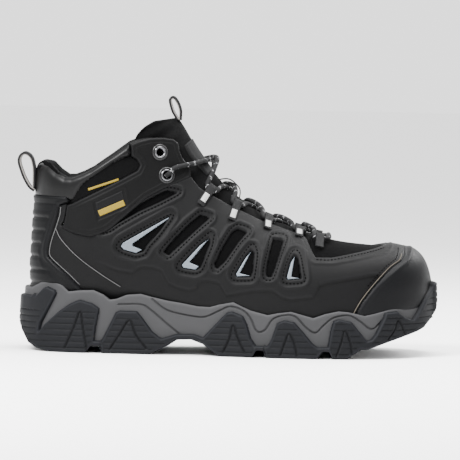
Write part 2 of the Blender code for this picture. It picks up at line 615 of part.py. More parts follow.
def panel_outline():
    front = COLLAR_TOP[-6:] + FACING
    back = list(reversed(PANEL_LOW)) + list(reversed(STRIP_LOW)) + list(reversed(STRIP_END))
    return front + back + [(81.8, 144.6)]


def throat_opening(extra):
    """The lacing gap in side view, from the ankle to the vamp, with room above it."""
    edge = [(x + extra, z - extra) for x, z in [(116, 154)] + FACING + THROAT]
    return edge + [(THROAT[-1][0] + extra, 120), (170, 140), (150, 200), (116 + extra, 200)]


def mesh_layer():
    fabric = material("mesh_fabric", (0.012, 0.012, 0.012), 0.95)
    vamp = skin("vamp_mesh", rows_between(0, 6.5), ring_steps(-9, 9), MESH, fabric)
    low = list(reversed(LASTING_LINE))
    front = [(208, 30), (208, 87.2)] + THROAT[-2:] + [(THROAT[-1][0], 120), (330, 120)] + low[:4]
    cut(vamp, prism("vamp_side", [front], -SIDE_REACH, SIDE_REACH), "INTERSECT")
    for side in (-1, 1):
        name = f"quarter_mesh_{side_of(side)}"
        quarter = skin(name, rows_between(5.5, LAST), ring_side(side, -1, 9), MESH, fabric)
        low, high = span(side)
        region = [(207.5, 30), (207.5, 88), (206, 120), (130, 200), (-20, 200), (24, 124)]
        region += [(40, 99), (40, 40)]
        cut(quarter, prism(f"quarter_side_{side}", [region + LASTING_LINE[1:4]], low, high), "INTERSECT")
        cut(quarter, prism(f"quarter_throat_{side}", [throat_opening(0)], low, high))
        above = [(-20, 220)] + [(x, z - 0.4) for x, z in COLLAR_TOP] + [(140, 154), (200, 220)]
        cut(quarter, prism(f"quarter_collar_{side}", [above], low, high))


def leather_and_overlays():
    synthetic = material("overlay_synthetic", (0.035, 0.035, 0.036), 0.65)
    smooth = material("collar_leather", (0.05, 0.05, 0.05), 0.4)
    webbing = material("strip_webbing", (0.02, 0.02, 0.02), 0.8)
    silver = material("reflective_silver", (0.6, 0.63, 0.66), 0.35, 0.4)
    patch = material("patch_rubber", (0.03, 0.03, 0.03), 0.6)
    collar_front = [point for point in COLLAR_TOP if point[0] < 80.5] + [(80.8, 153.3)]
    collar = skin("collar_leather", rows_between(12, LAST), ring_steps(4, 20), LEATHER, smooth)
    region = collar_front + [(x - 0.3, z + 0.5) for x, z in reversed(STRIP_TOP)]
    region += [(39, 114.8), (-20, 114.8)]
    cut(collar, prism("collar_side", [region], -SIDE_REACH, SIDE_REACH), "INTERSECT")
    panel, strip = panel_outline(), STRIP_TOP + STRIP_END + STRIP_LOW
    heel = [(-20, 114.3)] + HEEL_EDGE[:-2] + [(51, 43), (-20, 43)]
    for side in (-1, 1):
        low, high = span(side)
        name = side_of(side)
        made = skin(f"collar_strip_{name}", rows_between(11, LAST), ring_side(side, 2, 9), STRIP, webbing)
        cut(made, prism(f"strip_{side}", [grown(strip, -0.25)], low, high), "INTERSECT")
        rings = ring_side(side, -1, 10)
        made = skin(f"ankle_panel_{name}", rows_between(9, LAST), rings, OVERLAY, synthetic)
        cut(made, prism(f"panel_{side}", [grown(panel, -0.25)], low, high), "INTERSECT")
        cage = skin(f"overlay_{name}", rows_between(2, 15), ring_side(side, -1, 10), OVERLAY, synthetic)
        region = [(36.2, 107.4), (31.2, 107.1)] + [(x + 0.5, z) for x, z in HEEL_EDGE[3:]]
        region += LASTING_LINE[:5] + [(x - 0.5, z) for x, z in reversed(TOE_EDGE)]
        region += [(216, 105)] + [(x - 0.3, z - 0.3) for x, z in reversed(THROAT)]
        region += [(x, z - 0.3) for x, z in reversed(PANEL_LOW[1:])]
        cut(cage, prism(f"cage_{side}", [region], low, high), "INTERSECT")
        cut(cage, prism(f"cage_window_{side}", [VAMP_WINDOW], low, high))
        for number, slot in enumerate(SLOTS):
            cut(cage, prism(f"slot_{number}_{side}", [slot], low, high))
        for number, outline in enumerate(TRIMS):
            row, ring = place_of(*np.mean(outline, axis=0), side)
            near = int(round(abs(ring) / STEP))
            made = skin(f"reflective_trim_{name}_{number + 1}", rows_between(row - 2.2, row + 2.2),
                        ring_side(side, near - 3, near + 3), ON_OVERLAY, silver)
            cut(made, prism(f"trim_{number}_{side}", [outline], low, high), "INTERSECT")
    made = skin("ankle_patch", rows_between(11, LAST), ring_side(-1, 4, 10), ON_OVERLAY, patch)
    cut(made, prism("patch_side", [PATCH], *span(-1)), "INTERSECT")
    rubber = material("guard_rubber", (0.028, 0.029, 0.031), 0.6)
    guard = skin("heel_guard", rows_between(9.5, LAST), ring_steps(5, 19), HEEL_GUARD, rubber)
    cut(guard, prism("heel_side", [heel], -SIDE_REACH, SIDE_REACH), "INTERSECT")
    guard = skin("toe_guard", rows_between(0, 5.5), ring_steps(-9, 9), TOE_GUARD, rubber)
    region = TOE_EDGE[:-1] + [(250, 30.5)] + LASTING_LINE[5:] + [(330, 95)]
    cut(guard, prism("toe_side", [region], -SIDE_REACH, SIDE_REACH), "INTERSECT")


# ---------------------------------------------------------------------------------------------------
# Tongue, pulls and lacing
# ---------------------------------------------------------------------------------------------------

def tongue_top_height(points, rings):
    return np.broadcast_to(-1.0 - 0.9 * np.clip(np.abs(rings) / STEP, 0, 1), points.shape[:2])


def tongue_height(points, rings):
    """The tongue is crowned along the middle, and lies under the vamp at its toe end."""
    crowned = tongue_top_height(points, rings)
    under = np.clip((points[:, :, 0] - 195) / 12, 0, 1)
    return crowned * (1 - under) - 1.9 * under


def tongue_and_pulls():
    cloth = material("tongue_cloth", (0.02, 0.02, 0.02), 0.9)
    label = material("tongue_label", (0.03, 0.03, 0.03), 0.7)
    webbing = material("pull_webbing", (0.025, 0.025, 0.025), 0.8)
    fold_x, fold_z = TONGUE_FOLD
    tongue = loft("tongue", rows_between(5.7, LAST), ring_steps(-3, 3), tongue_height, -5.3, cloth)
    low = [(60, 60), (250, 60), (250, 120), (150, fold_z - 0.4), (60, fold_z - 0.4)]
    cut(tongue, prism("tongue_low", [low], -SIDE_REACH, SIDE_REACH), "INTERSECT")
    wings = [(60, 170), (60, 118), (107, 112), (114.8, 122), (115, 134), (108.6, 152), (106, 170)]
    cut(tongue, prism("behind_eyelets", [wings], -SIDE_REACH, SIDE_REACH))
    top = loft("tongue_top", rows_between(10, LAST), ring_steps(-3, 3), tongue_top_height, -6.3, cloth)
    rise = math.tan(math.radians(TONGUE_FOLD_SLOPE))
    high = [(fold_x, fold_z), (150, fold_z), (150, 168), (113.8, 168.4), (112.2, 173), (104, 173.9),
            (99, 171), (92, 163), (88, fold_z + (fold_x - 88) * rise)]
    cut(top, prism("tongue_high", [high], -SIDE_REACH, SIDE_REACH), "INTERSECT")
    hinge_now(top, fold_x, fold_z)
    skin("tongue_patch", rows_between(10.6, 12.4), [-STEP, 0, STEP], (0.0, 0.65), label)
    for name, outer, inner, pivot in (("heel_pull_loop", HEEL_LOOP_OUTER, HEEL_LOOP_INNER, HEEL_LOOP_HINGE),
                                      ("tongue_pull_loop", TONGUE_LOOP_OUTER, TONGUE_LOOP_INNER,
                                       TONGUE_LOOP_HINGE)):
        loop = prism(name, [outer, inner], -PULL_WIDTH / 2, PULL_WIDTH / 2, finish=webbing)
        loop.data.transform(loop.matrix_world)
        loop.matrix_world = Matrix.Identity(4)
        hinge(loop, *pivot)
    keeper = [on_surface(row, 0, height) for row, height in KEEPER_PATH]
    strap("lace_keeper", keeper, (0, 1, 0), 6.0, 0.8, webbing)


def hinge_now(piece, x, z):
    """Apply a piece's modifiers, and then move its origin onto its hinge."""
    bpy.context.view_layer.update()
    depsgraph = bpy.context.evaluated_depsgraph_get()
    mesh = bpy.data.meshes.new_from_object(piece.evaluated_get(depsgraph))
    piece.modifiers.clear()
    piece.data = mesh
    hinge(piece, x, z)


def frame_at(row, ring):
    """Unit directions at a place of the base surface: towards the sole, along the throat, and out."""
    point, out = base_surface([row], [ring])
    away = rib_points(row, [ring + math.copysign(0.01, ring)])[0] - rib_points(row, [ring])[0]
    out = out[0, 0]
    away -= out * np.dot(away, out)
    away /= np.linalg.norm(away)
    return point[0, 0], away, np.cross(out, away), out


def lace_loops():
    """Webbing loops: a flat tail on the overlay, and an eye round the lace."""
    webbing = material("loop_webbing", (0.03, 0.03, 0.03), 0.8)
    width, thickness = WEBBING
    for side in (-1, 1):
        for number, (row, ring) in enumerate(LOOP_PLACES):
            centre, away, along, out = loop_centre(number, side)
            turns = np.radians(np.arange(70, 281, 30))
            eye = [centre + LOOP_RADIUS * (away * math.cos(t) + out * math.sin(t)) for t in turns]
            tail = [on_surface(row, side * (ring + step), 3.3) for step in (0.13, 0.1, 0.075)]
            strap(f"lace_loop_{side_of(side)}_{number + 1}", tail + eye, along, width, thickness, webbing)


def eyelets():
    nickel = material("eyelet_nickel", (0.5, 0.5, 0.5), 0.25, 1.0)
    for side in (-1, 1):
        for number, place in enumerate(EYELET_PLACES):
            name = f"eyelet_{side_of(side)}_{number + 1}"
            point, away, along, out = frame_at(*place_of(*place, side))
            mesh = bpy.data.meshes.new(name)
            count = len(EYELET_PROFILE)
            mesh.from_pydata([(r * 0.001, 0, h * 0.001) for r, h in EYELET_PROFILE],
                             [(k, (k + 1) % count) for k in range(count)], [])
            ring = bpy.data.objects.new(name, mesh)
            PARTS.objects.link(ring)
            mesh.materials.append(nickel)
            turn = Matrix(np.array([away, np.cross(out, away), out]).T.tolist()).to_4x4()
            ring.matrix_world = Matrix.Translation(metres(point)) @ turn
            modifier(ring, "SCREW", steps=10, render_steps=10, use_merge_vertices=True, merge_threshold=1e-5)
            bpy.ops.mesh.primitive_cylinder_add(vertices=12, radius=EYELET_BORE * 0.001, depth=0.014)
            bore = bpy.context.object
            bore.name = name + "_bore"
            bore.matrix_world = ring.matrix_world
            for home in bore.users_collection:
                home.objects.unlink(bore)
            CUTTERS.objects.link(bore)
            hide(bore)
            for piece in ("ankle_panel", "quarter_mesh"):
                cut(bpy.data.objects[f"{piece}_{side_of(side)}"], bore)


def loop_centre(number, side):
    """The middle of a loop's eye, with its directions, towards the toe for the one along the lace."""
    row, ring = LOOP_PLACES[number]
    point, away, along, out = frame_at(row, side * ring)
    along = along if along[0] > 0 else -along
    return point + out * LOOP_HEIGHTS[number], away, along, out


def lace_tail(side):
    """From inside the boot, up the lining and out through the lower eyelet, over the facing's edge."""
    found = [on_surface(row, side * ring, depth) for row, ring, depth in TAIL_PLACES]
    point, away, along, out = frame_at(*place_of(*EYELET_PLACES[1], side))
    steps = ((0, -7.0), (0, 3.4), (2.2, 6.4), (8.5, 6.2))
    return found + [point + out * high - away * inwards for inwards, high in steps]


def lace_half(side):
    """One half of the lace, from its end inside the boot to its toe loop."""
    route = lace_tail(side)
    row_a, ring_a = place_of(*EYELET_PLACES[1], side)
    for number, heights in enumerate(CROSSINGS):
        middle, beside = heights[:2] if side < 0 else heights[2:]
        row_b, ring_b = LOOP_PLACES[number]
        ring_b *= -side
        for ring, height in ((0.5 * ring_a, beside), (0.0, middle), (0.5 * ring_b, beside)):
            share = (ring - ring_a) / (ring_b - ring_a)
            route.append(on_surface(row_a + (row_b - row_a) * share, ring, height))
        side = -side
        centre, away, along, out = loop_centre(number, side)
        route += [centre - along * THROUGH, centre + along * THROUGH]
        row_a, ring_a = row_b, ring_b
    return route, side


def lace_route():
    """The whole lace: both halves, joined over the vamp between the toe loops."""
    (first, side), (second, _) = lace_half(-1), lace_half(1)
    row, ring = LOOP_PLACES[-1]
    bridge = [on_surface(row - BRIDGE_ROW, side * ring * t, 3.0) for t in (0.7, 0.0, -0.7)]
    return first + bridge + second[::-1]


def lace():
    cord = material("lace_cord", (0.02, 0.02, 0.02), 0.9)
    tip = material("aglet_plastic", (0.03, 0.03, 0.03), 0.4)
    route = lace_route()
    curve = bpy.data.curves.new("lace", "CURVE")
    curve.dimensions = "3D"
    curve.bevel_depth = LACE_RADIUS * 0.001
    curve.bevel_resolution = 2
    curve.use_fill_caps = True
    spline = curve.splines.new("POLY")
    spline.points.add(len(route) - 1)
    for point, place in zip(spline.points, metres(route)):
        point.co = (*place, 1)
    curve.materials.append(cord)
    PARTS.objects.link(bpy.data.objects.new("lace", curve))
    for name, end, inner in (("aglet_lateral", route[0], route[1]), ("aglet_medial", route[-1], route[-2])):
        aglet(name, end, (end - inner) / np.linalg.norm(end - inner), tip)


def aglet(name, end, direction, finish):
    """A hard tip just beyond one end of the lace."""
    bpy.ops.mesh.primitive_cylinder_add(vertices=12, radius=AGLET[0] * 0.001, depth=AGLET[1] * 0.001)
    made = bpy.context.object
    made.name = name
    for home in made.users_collection:
        home.objects.unlink(made)
    PARTS.objects.link(made)
    made.data.materials.append(finish)
    turn = Vector((0, 0, 1)).rotation_difference(Vector(direction)).to_matrix().to_4x4()
    middle = metres(end + direction * (AGLET[1] / 2 + 0.3))
    made.matrix_world = Matrix.Translation(middle) @ turn


def start():
    for old in list(bpy.data.objects):
        bpy.data.objects.remove(old)


start()
PARTS = collection(NAME)
CUTTERS = collection(NAME + "_cutters")
sole_unit()
inner_pieces()
mesh_layer()
leather_and_overlays()
tongue_and_pulls()
lace_loops()
eyelets()
lace()
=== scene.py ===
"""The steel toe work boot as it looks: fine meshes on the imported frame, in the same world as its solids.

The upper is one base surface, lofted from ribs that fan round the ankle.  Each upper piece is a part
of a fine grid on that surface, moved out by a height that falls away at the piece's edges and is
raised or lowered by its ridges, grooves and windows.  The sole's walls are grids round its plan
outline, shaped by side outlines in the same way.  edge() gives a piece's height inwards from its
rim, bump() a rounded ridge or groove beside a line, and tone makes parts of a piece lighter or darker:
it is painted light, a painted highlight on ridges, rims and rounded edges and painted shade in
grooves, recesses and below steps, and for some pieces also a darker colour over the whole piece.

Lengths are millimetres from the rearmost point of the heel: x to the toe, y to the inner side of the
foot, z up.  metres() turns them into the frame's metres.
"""
import math

import bmesh
import bpy
import numpy as np
from mathutils import Matrix, Vector


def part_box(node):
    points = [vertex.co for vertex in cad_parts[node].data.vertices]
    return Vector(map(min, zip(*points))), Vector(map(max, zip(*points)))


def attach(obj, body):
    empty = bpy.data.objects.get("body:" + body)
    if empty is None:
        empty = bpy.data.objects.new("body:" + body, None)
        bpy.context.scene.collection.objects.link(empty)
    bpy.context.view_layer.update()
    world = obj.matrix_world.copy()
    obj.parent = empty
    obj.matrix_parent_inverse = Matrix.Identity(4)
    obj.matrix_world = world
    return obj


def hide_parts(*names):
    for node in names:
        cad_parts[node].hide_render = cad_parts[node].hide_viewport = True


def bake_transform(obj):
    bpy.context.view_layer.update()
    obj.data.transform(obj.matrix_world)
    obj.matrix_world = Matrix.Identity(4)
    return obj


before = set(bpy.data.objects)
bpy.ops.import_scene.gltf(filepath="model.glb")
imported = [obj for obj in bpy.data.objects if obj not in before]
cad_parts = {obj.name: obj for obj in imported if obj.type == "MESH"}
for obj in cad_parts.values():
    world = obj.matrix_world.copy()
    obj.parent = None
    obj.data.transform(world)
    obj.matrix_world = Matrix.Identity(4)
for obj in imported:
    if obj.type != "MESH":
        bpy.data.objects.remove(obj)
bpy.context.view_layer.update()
LOOP_REAR = -2.1
ORIGIN = np.array([LOOP_REAR - 1000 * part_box("heel_pull_loop")[0].x, 0.0, 0.0])
BOOT = "boot"
SIDES = ((-1, "lateral"), (1, "medial"))

# The base surface, as ribs from the toe tip to the collar: where the rib meets the sole or heel line
# (x, z), where it meets the instep line (x, z), half width on the outer and the inner side, sideways
# shift, height of the widest place as a share of the rib, and fullness of the low and the high part.
RIBS = [
    (303.6, 45, 303.6, 45, 0, 0, 6, 0.45, 2.3, 2.3),
    (300.8, 34, 300.8, 62, 14.5, 14.5, 6, 0.45, 2.6, 2.3),
    (294, 28.5, 294, 73.5, 29, 29, 5.5, 0.42, 3.2, 2.4),
    (280, 24, 280, 79.3, 40.5, 40.5, 4, 0.4, 3.8, 2.5),
    (260, 20, 260, 80.6, 47.5, 47.5, 2.2, 0.38, 4.2, 2.5),
    (235, 17.5, 235, 83.5, 52, 51, 0.8, 0.35, 4.4, 2.3),
    (210, 17, 210, 90, 52.5, 51, -0.3, 0.32, 4.4, 2.1),
    (180, 18, 184, 99, 49.5, 45.5, -0.8, 0.29, 4.2, 2.0),
    (148, 21, 167, 110, 44.5, 39, -0.8, 0.28, 3.8, 2.0),
    (112, 25, 154.5, 119.5, 40.5, 36, -0.4, 0.3, 3.2, 2.0),
    (72, 28.5, 144, 133, 38, 36, 0, 0.32, 2.6, 2.0),
    (36, 30, 137, 142.7, 36.5, 36, 0, 0.35, 2.4, 2.0),
    (15, 37, 131.5, 150.5, 36, 36, 0, 0.37, 2.3, 2.0),
    (11, 56, 126.5, 158.5, 35.5, 35.5, 0, 0.39, 2.2, 2.0),
    (11.5, 78, 122, 166, 35, 35, 0, 0.42, 2.1, 2.0),
    (12.5, 100, 118, 172, 35.5, 35.5, 0, 0.44, 2.1, 2.0),
    (13, 118, 115, 177, 37, 37, 0, 0.46, 2.0, 2.0),
    (14, 139, 112.5, 182, 38.5, 38.5, 0, 0.48, 2.0, 2.0),
]
LAST = len(RIBS) - 1

# Side outlines (x, z) of the upper's pieces.
COLLAR_TOP = [
    (-8, 139), (16, 139.6), (21, 138.4), (27, 132.6), (33.8, 128.3), (39, 128.3), (46, 130.8),
    (53, 134.2), (67.7, 144.1), (81, 153.6), (87.6, 156.2), (95, 158), (104, 158.2), (112, 157),
    (115.6, 154),
]
FACING = [(116.7, 149), (119, 143.5), (122.5, 138.4), (125.2, 135.5), (125.6, 129.5)]
THROAT = [(132.8, 122), (153.8, 109.8), (179.3, 97.6), (200.2, 90.5), (211.5, 86.3), (215.3, 81)]
STRIP_TOP = [
    (39.6, 111.2), (41.5, 113.6), (43, 117.4), (46, 122.3), (51, 126.8), (62, 134.4), (69.3, 139.4),
    (76.7, 143), (81.5, 144),
]
STRIP_END = [(86, 141.8), (88.2, 138), (86.5, 134)]
STRIP_LOW = [(76.9, 128.6), (40.1, 109.4)]
PANEL_LOW = [
    (36, 107.8), (35.4, 100.9), (34, 93.4), (31.9, 90.9), (37, 88.6), (42.8, 86.2), (53.2, 84.6),
    (63.5, 88), (68, 90.8), (93.6, 113.4), (106.8, 120.4), (125.8, 128.1),
]
HEEL_EDGE = [
    (36.3, 114.3), (37.8, 110.2), (31, 107.6), (29.9, 100.1), (27.1, 90.4), (24.3, 81.4), (22.9, 74),
    (23.7, 69.5), (29.8, 63.7), (37.3, 57.2), (44.9, 49.9), (52, 42), (53.5, 40),
]
TOE_EDGE = [
    (281.4, 95), (282.9, 81), (283.7, 77.2), (283, 73.5), (280.9, 69.7), (275, 65.9), (269.9, 61.4),
    (260.4, 51.5), (252.4, 41), (246, 29), (244, 21),
]
VAMP_WINDOW = [
    (206, 93), (210.5, 88.2), (218.6, 72.6), (230.3, 72.4), (245, 74.9), (260, 77.8), (270.3, 80.3),
    (274, 90), (212, 97),
]
SLOTS = [
    [(62, 89.7), (73.7, 99.6), (88.4, 108.8), (103.2, 116.9), (109.1, 119.2), (115.8, 117.8),
     (103.3, 111.2), (88.5, 104.3), (73.8, 95.9), (66.5, 91)],
    [(107.6, 74.9), (114.9, 84), (125.9, 95.3), (133.9, 101.8), (139.9, 99.6), (131.8, 92.4),
     (120.2, 81.5), (110.7, 72.7)],
    [(145.3, 66.8), (150, 77.3), (157.2, 89.3), (161.6, 92), (167.6, 89.5), (161.7, 82.7),
     (152.3, 69.1), (146.5, 63.5)],
    [(187.7, 84.6), (194.4, 84), (192.3, 76.5), (188.1, 63.1), (186, 58.6), (183.7, 58.5),
     (182.9, 62.2), (185.6, 76.4)],
]
TRIMS = [
    [(110.9, 100.3), (81.5, 83.5), (77.1, 80.8), (75.6, 78.2), (77.9, 76), (86.9, 73.5), (91.6, 76.1),
     (84.5, 78.7), (84.5, 80.5), (110.9, 99.2)],
    [(140.5, 85), (133.6, 79.7), (120.8, 65.7), (122, 63.5), (130.9, 62.3), (133.5, 64.8),
     (126.4, 67.7)],
    [(171.9, 76.8), (167.2, 71.1), (160.7, 59.8), (161.5, 58), (171.1, 58.9), (163.6, 60.6)],
    [(203.5, 73.3), (200.6, 68.8), (197.9, 58.4), (198.6, 56.7), (207.5, 57.8), (201.2, 58.8)],
]
WINDOWS = [
    [(110.9, 100.3), (81.5, 83.5), (77.1, 80.8), (75.6, 78.2), (77.9, 76), (86.9, 73.5), (92, 75),
     (95, 79.9), (103.7, 89.9)],
    [(140.5, 85), (133.6, 79.7), (120.8, 65.7), (122, 63.5), (130.9, 62.3), (134, 64), (136.4, 69.7),
     (140.6, 81)],
    [(171.9, 76.8), (167.2, 71.1), (160.7, 59.8), (161.5, 58), (171.1, 58.4), (172.4, 62),
     (173.4, 74.5)],
    [(203.5, 73.3), (200.6, 68.8), (197.9, 58.4), (198.6, 56.7), (207.8, 57.6), (207, 63.8),
     (204.9, 72.6)],
]
PATCH = [(55.7, 110.2), (76.4, 120.2), (79.6, 107.6), (58.9, 97.6)]
STEP_LINE = [
    (60, 66), (74.5, 60.5), (84.9, 59.2), (87.8, 62.2), (93, 63.8), (100.4, 63.2), (106.4, 61.1),
    (111.8, 51.5), (119.3, 48.7), (126.7, 47), (131.9, 48.9), (134.8, 54.2), (141.4, 54.7),
    (148.9, 52.9), (154.3, 44.1), (175, 48.2), (187.6, 48.4), (195.9, 43.4), (201.1, 42.3),
    (216.7, 44.5), (219.6, 48.3), (221.7, 52.8), (226.9, 54.7), (245.4, 57.6), (260.3, 60.1),
]
HEEL_LINE = [
    (9.7, 108.3), (29, 108.3), (30.5, 106.1), (29.9, 100.1), (27.1, 90.4), (24.3, 81.4), (22.9, 74),
    (23.7, 69.5), (29.8, 63.7), (37.3, 57.2), (44.9, 49.9),
]
HEEL_SEAM = [(28.7, 90), (33, 82), (44.6, 70), (60.8, 58.4), (76.2, 49.2)]
HEEL_PLATE = [
    (-20, 102.7), (26.1, 103), (22, 85.1), (18.5, 73.9), (18.6, 68.7), (21.7, 62.1), (27, 56.2),
    (33.8, 50.4), (43.5, 40), (-20, 40),
]
TOE_BEAD = [
    (285.1, 88), (286.5, 81), (287.5, 76), (286, 72.5), (283, 69), (278, 65.5), (272.3, 61),
    (266.5, 56), (262, 51.8), (257, 45.5), (250, 34),
]

# Sole: plan outline (x, outer half width, inner half width) and side outlines (x, z).
SOLE_PLAN = [
    (3.5, 0, 0), (5, 9.5, 9.5), (8, 15.5, 15.5), (13, 22, 22), (20, 28, 28), (32, 34, 33.5),
    (50, 37.5, 36.5), (75, 39.5, 36.5), (100, 41.5, 35.5), (125, 44, 36), (150, 48, 39.5),
    (175, 53, 46.5), (200, 56.5, 54), (220, 57, 57), (240, 55, 57), (260, 50.5, 54.5), (275, 44, 50.5),
    (288, 34.5, 44.5), (298, 23.5, 35), (304.5, 11, 23.5), (308, -6, 6),
]
MIDSOLE_TOP = [
    (-10, 46.1), (9.3, 46.2), (15.9, 50), (22.6, 52.6), (25.6, 52.8), (33.1, 48.5), (37.6, 44.4),
    (46.5, 45.5), (56.2, 45.9), (63.6, 42.7), (68.2, 39.1), (73.4, 39.9), (80.7, 43), (91.1, 43.9),
    (99.3, 41.8), (110.5, 39.4), (121.7, 37.8), (132.9, 35.8), (141.8, 35.5), (148.4, 37.5),
    (158.8, 39.6), (164.1, 37.1), (171.6, 33.9), (184.2, 30.9), (191.6, 32.5), (201.3, 33.8),
    (211, 31.2), (217.7, 29.5), (226.6, 32.6), (236.2, 34.6), (243.6, 34), (255.6, 31.3), (263, 32.9),
    (274.1, 35.7), (283, 37.3), (295.5, 40), (304, 50), (320, 52),
]
TREAD_TOP = [
    (-10, 11), (14, 10), (40, 8.5), (59, 8), (85, 8.5), (107, 11), (118, 14.5), (130, 14.8), (140, 11),
    (155, 8.6), (178, 7.6), (226, 7.6), (245, 9), (259, 12.5), (275, 17.5), (290, 24), (300, 31),
    (308, 40), (320, 44),
]
POD_TOPS = [
    (-10, 40), (12.4, 40.3), (18.2, 46.3), (21.2, 47.5), (27.2, 45), (28.3, 42.8), (22.9, 32.3),
    (16.5, 20.3), (15.4, 14), (19.5, 19.8), (30.4, 29.7), (37.8, 35), (43.7, 37.7), (46.6, 38.5),
    (55.6, 36.1), (60.8, 32.5), (58.1, 17.5), (57.2, 8.8), (62.6, 8.8), (67.8, 19.5), (72.8, 30),
    (75.7, 31.2), (88.4, 31), (92.2, 26.6), (99.8, 16.4), (106.5, 11.6), (118, 15.2), (130, 15.5),
    (137, 13.2), (144.3, 21.3), (153.8, 31.8), (157.5, 33), (165.7, 29.8), (168.8, 23.9), (171.9, 13.6),
    (175.5, 8.4), (184.2, 8.4), (186.8, 13), (191, 25.3), (196.2, 27.6), (203.6, 26.2), (210.5, 18.9),
    (217.3, 10.9), (221, 8.4), (228.8, 8.4), (230.5, 20), (232.6, 27.5), (236.3, 29), (246, 27),
    (253.6, 18.2), (257.5, 13.2), (261, 14), (264, 17.9), (269.7, 29.2), (271.1, 33.7), (280.8, 34.6),
    (286.1, 30.2), (292.5, 28), (296.5, 34), (302.8, 45.3), (309.4, 54.3), (330, 55),
]
GROUND_LINE = [
    (330, 50), (311.5, 44), (309.7, 34.3), (305.4, 27.5), (300.3, 22.2), (294.4, 19.2), (272.3, 12),
    (258, 6.8), (252.3, 6.8), (246.4, 2.6), (243, 0), (231.6, 0), (229.3, 5.2), (224.6, 5.2),
    (220.5, 0), (183.3, 0), (182, 5), (176.8, 5), (174, 0), (150, 0), (141.5, 5.4), (137.8, 8.4),
    (128.8, 11.6), (118.5, 11.1), (112.5, 7.2), (105.2, 3.2), (98, 0), (62.9, 0), (62, 5), (55.2, 5),
    (51, 0), (24, 0), (15, 1.6), (8, 5.6), (3, 14), (0, 22), (-10, 24),
]
# The toe's end profile as (z, x), and the ground line as heights along x.
NOSE = [
    (0, 243), (2.6, 246.4), (6.8, 258), (12, 272.3), (19.2, 294.4), (22.2, 300.3), (27.5, 305.4),
    (34.3, 309.7), (44, 311.3), (55, 310.5),
]
GROUND_HEIGHTS = sorted(GROUND_LINE[3:-1])
MIDSOLE_LINES = [
    [(74.9, 35.8), (91.3, 36.1), (98.8, 32.2), (108.6, 24.2), (119.9, 15.1)],
    [(99.4, 40.5), (109.1, 33.2), (119.6, 30.1), (133, 28.1), (139.7, 28.6), (149.3, 33.2),
     (156.6, 36.3), (165.6, 34.2), (171.7, 28.4), (176.3, 19.2), (182.2, 19.7), (188, 27.9),
     (196.1, 31.1), (204.3, 30.5), (212.6, 22.4), (219.4, 18.8), (225.2, 24.1), (232.6, 29.9),
     (243.7, 31.7), (251.9, 27.6), (260.9, 21.8), (269, 28.6), (271.9, 31.7)],
]
LUG_VEES = [
    [(35.5, 3), (42, 18), (46.7, 30), (49, 18), (52, 3)],
    [(69, 3), (76, 14), (83.2, 24.5), (88, 14), (96, 4)],
    [(152, 3), (156.5, 13), (159, 23), (163, 13), (168, 3)],
    [(194, 2), (197, 11), (200, 18), (204, 11), (206, 2)],
    [(235, 2), (238.5, 12), (241, 21), (245, 12), (246.5, 4)],
    [(273, 14), (278, 21), (280.5, 28), (284.5, 21), (286, 16)],
]

# Bands: the faces of a strap's section on its inner side, and the faces of one stitch's eight points.
INNER_FACES = (0, 1, 2)
THREAD_FACES = [(0, 1, 3, 2), (2, 3, 5, 4), (4, 5, 7, 6), (0, 2, 4, 6), (1, 7, 5, 3), (0, 6, 7, 1)]

# Upper, in side view: the front edge's seam, the line the mesh ends at under the midsole, and the
# seam between quarter and vamp, which overlap there.
FRONT_SEAM = [(113.5, 152), (117.6, 144)]
UPPER_LOW = [(0, 34), (60, 34), (100, 30), (185, 24), (243, 22), (280, 27), (300, 34), (320, 38)]
VAMP_SEAM = 207.3
QUARTER_END = 207.5

# How far round the upper's pieces run before the sole hides them, the clear radius at an eyelet, and
# the length of one row of the base surface at the collar.
SOLE_RING = 0.86
EYELET_HOLE = 2.9
COLLAR_ROW = 21.5

# Heights of the upper's pieces over the base surface.
CAGE_HEIGHT = 2.3
PANEL_HEIGHT = 2.8
STRIP_HEIGHT = 0.9
PATCH_HEIGHT = 2.6
HEEL_HEIGHT = 3.1
TOE_HEIGHT = 2.7
SEAM_HEIGHT = 2.3
THREAD_HEIGHT = 2.35
LINING_HEIGHT = -5.2

# Sole: height of the outsole's wall and the size of its grid, depth from the lugs to the wall between
# them, the x up to which the heel's lugs start further in, and the x from which the toe has a lip.
WALL_TOP = 56
WALL_COLUMNS = 1000
WALL_ROWS = 84
LUG_DEPTH = 4.6
HEEL_END = 13
TOE_START = 285

# One full turn of a wave, for weaves given in cords per metre.
WAVE_TURN = 6.2832

# Lacing, as places on the base surface (row, ring), and heights over it.
LACE_RADIUS = 1.75
EYELET_PLACES = [(102.2, 147.4), (107.7, 130.4)]
LOOP_PLACES = [(9.75, 0.143), (8.42, 0.118), (7.05, 0.085), (6.15, 0.092), (5.56, 0.15)]
LOOP_HEIGHTS = [2.4, 2.4, 2.4, 2.4, 3.6]
LOOP_RADIUS = 2.75
TACKS = [0.047, 0.067, 0.06, 0.04]
TAILS = [0.1, 0.115, 0.105, 0.09, 0.085]
TAIL_PLACES = [
    (7.4, 0.58, -12.4), (8.0, 0.58, -12.4), (8.6, 0.57, -12.2), (9.1, 0.55, -12), (9.6, 0.52, -11),
    (10.1, 0.48, -10), (10.6, 0.42, -9.8), (11.1, 0.36, -9.8), (11.6, 0.29, -9.6),
]
CROSSINGS = [
    (3.0, 4.4, 6.7, 5.6), (1.0, 1.5, 4.7, 4.0), (1.4, 1.6, 4.9, 4.3), (1.4, 1.6, 4.9, 4.3),
    (2.1, 2.3, 5.4, 5.2),
]
BRIDGE_ROW = 0.29
KEEPER_PATH = [
    (9.6, -0.5), (9.52, 2.6), (9.4, 5.4), (9.2, 7.1), (8.75, 7.1), (8.55, 5.4), (8.43, 2.6),
    (8.35, -0.5),
]
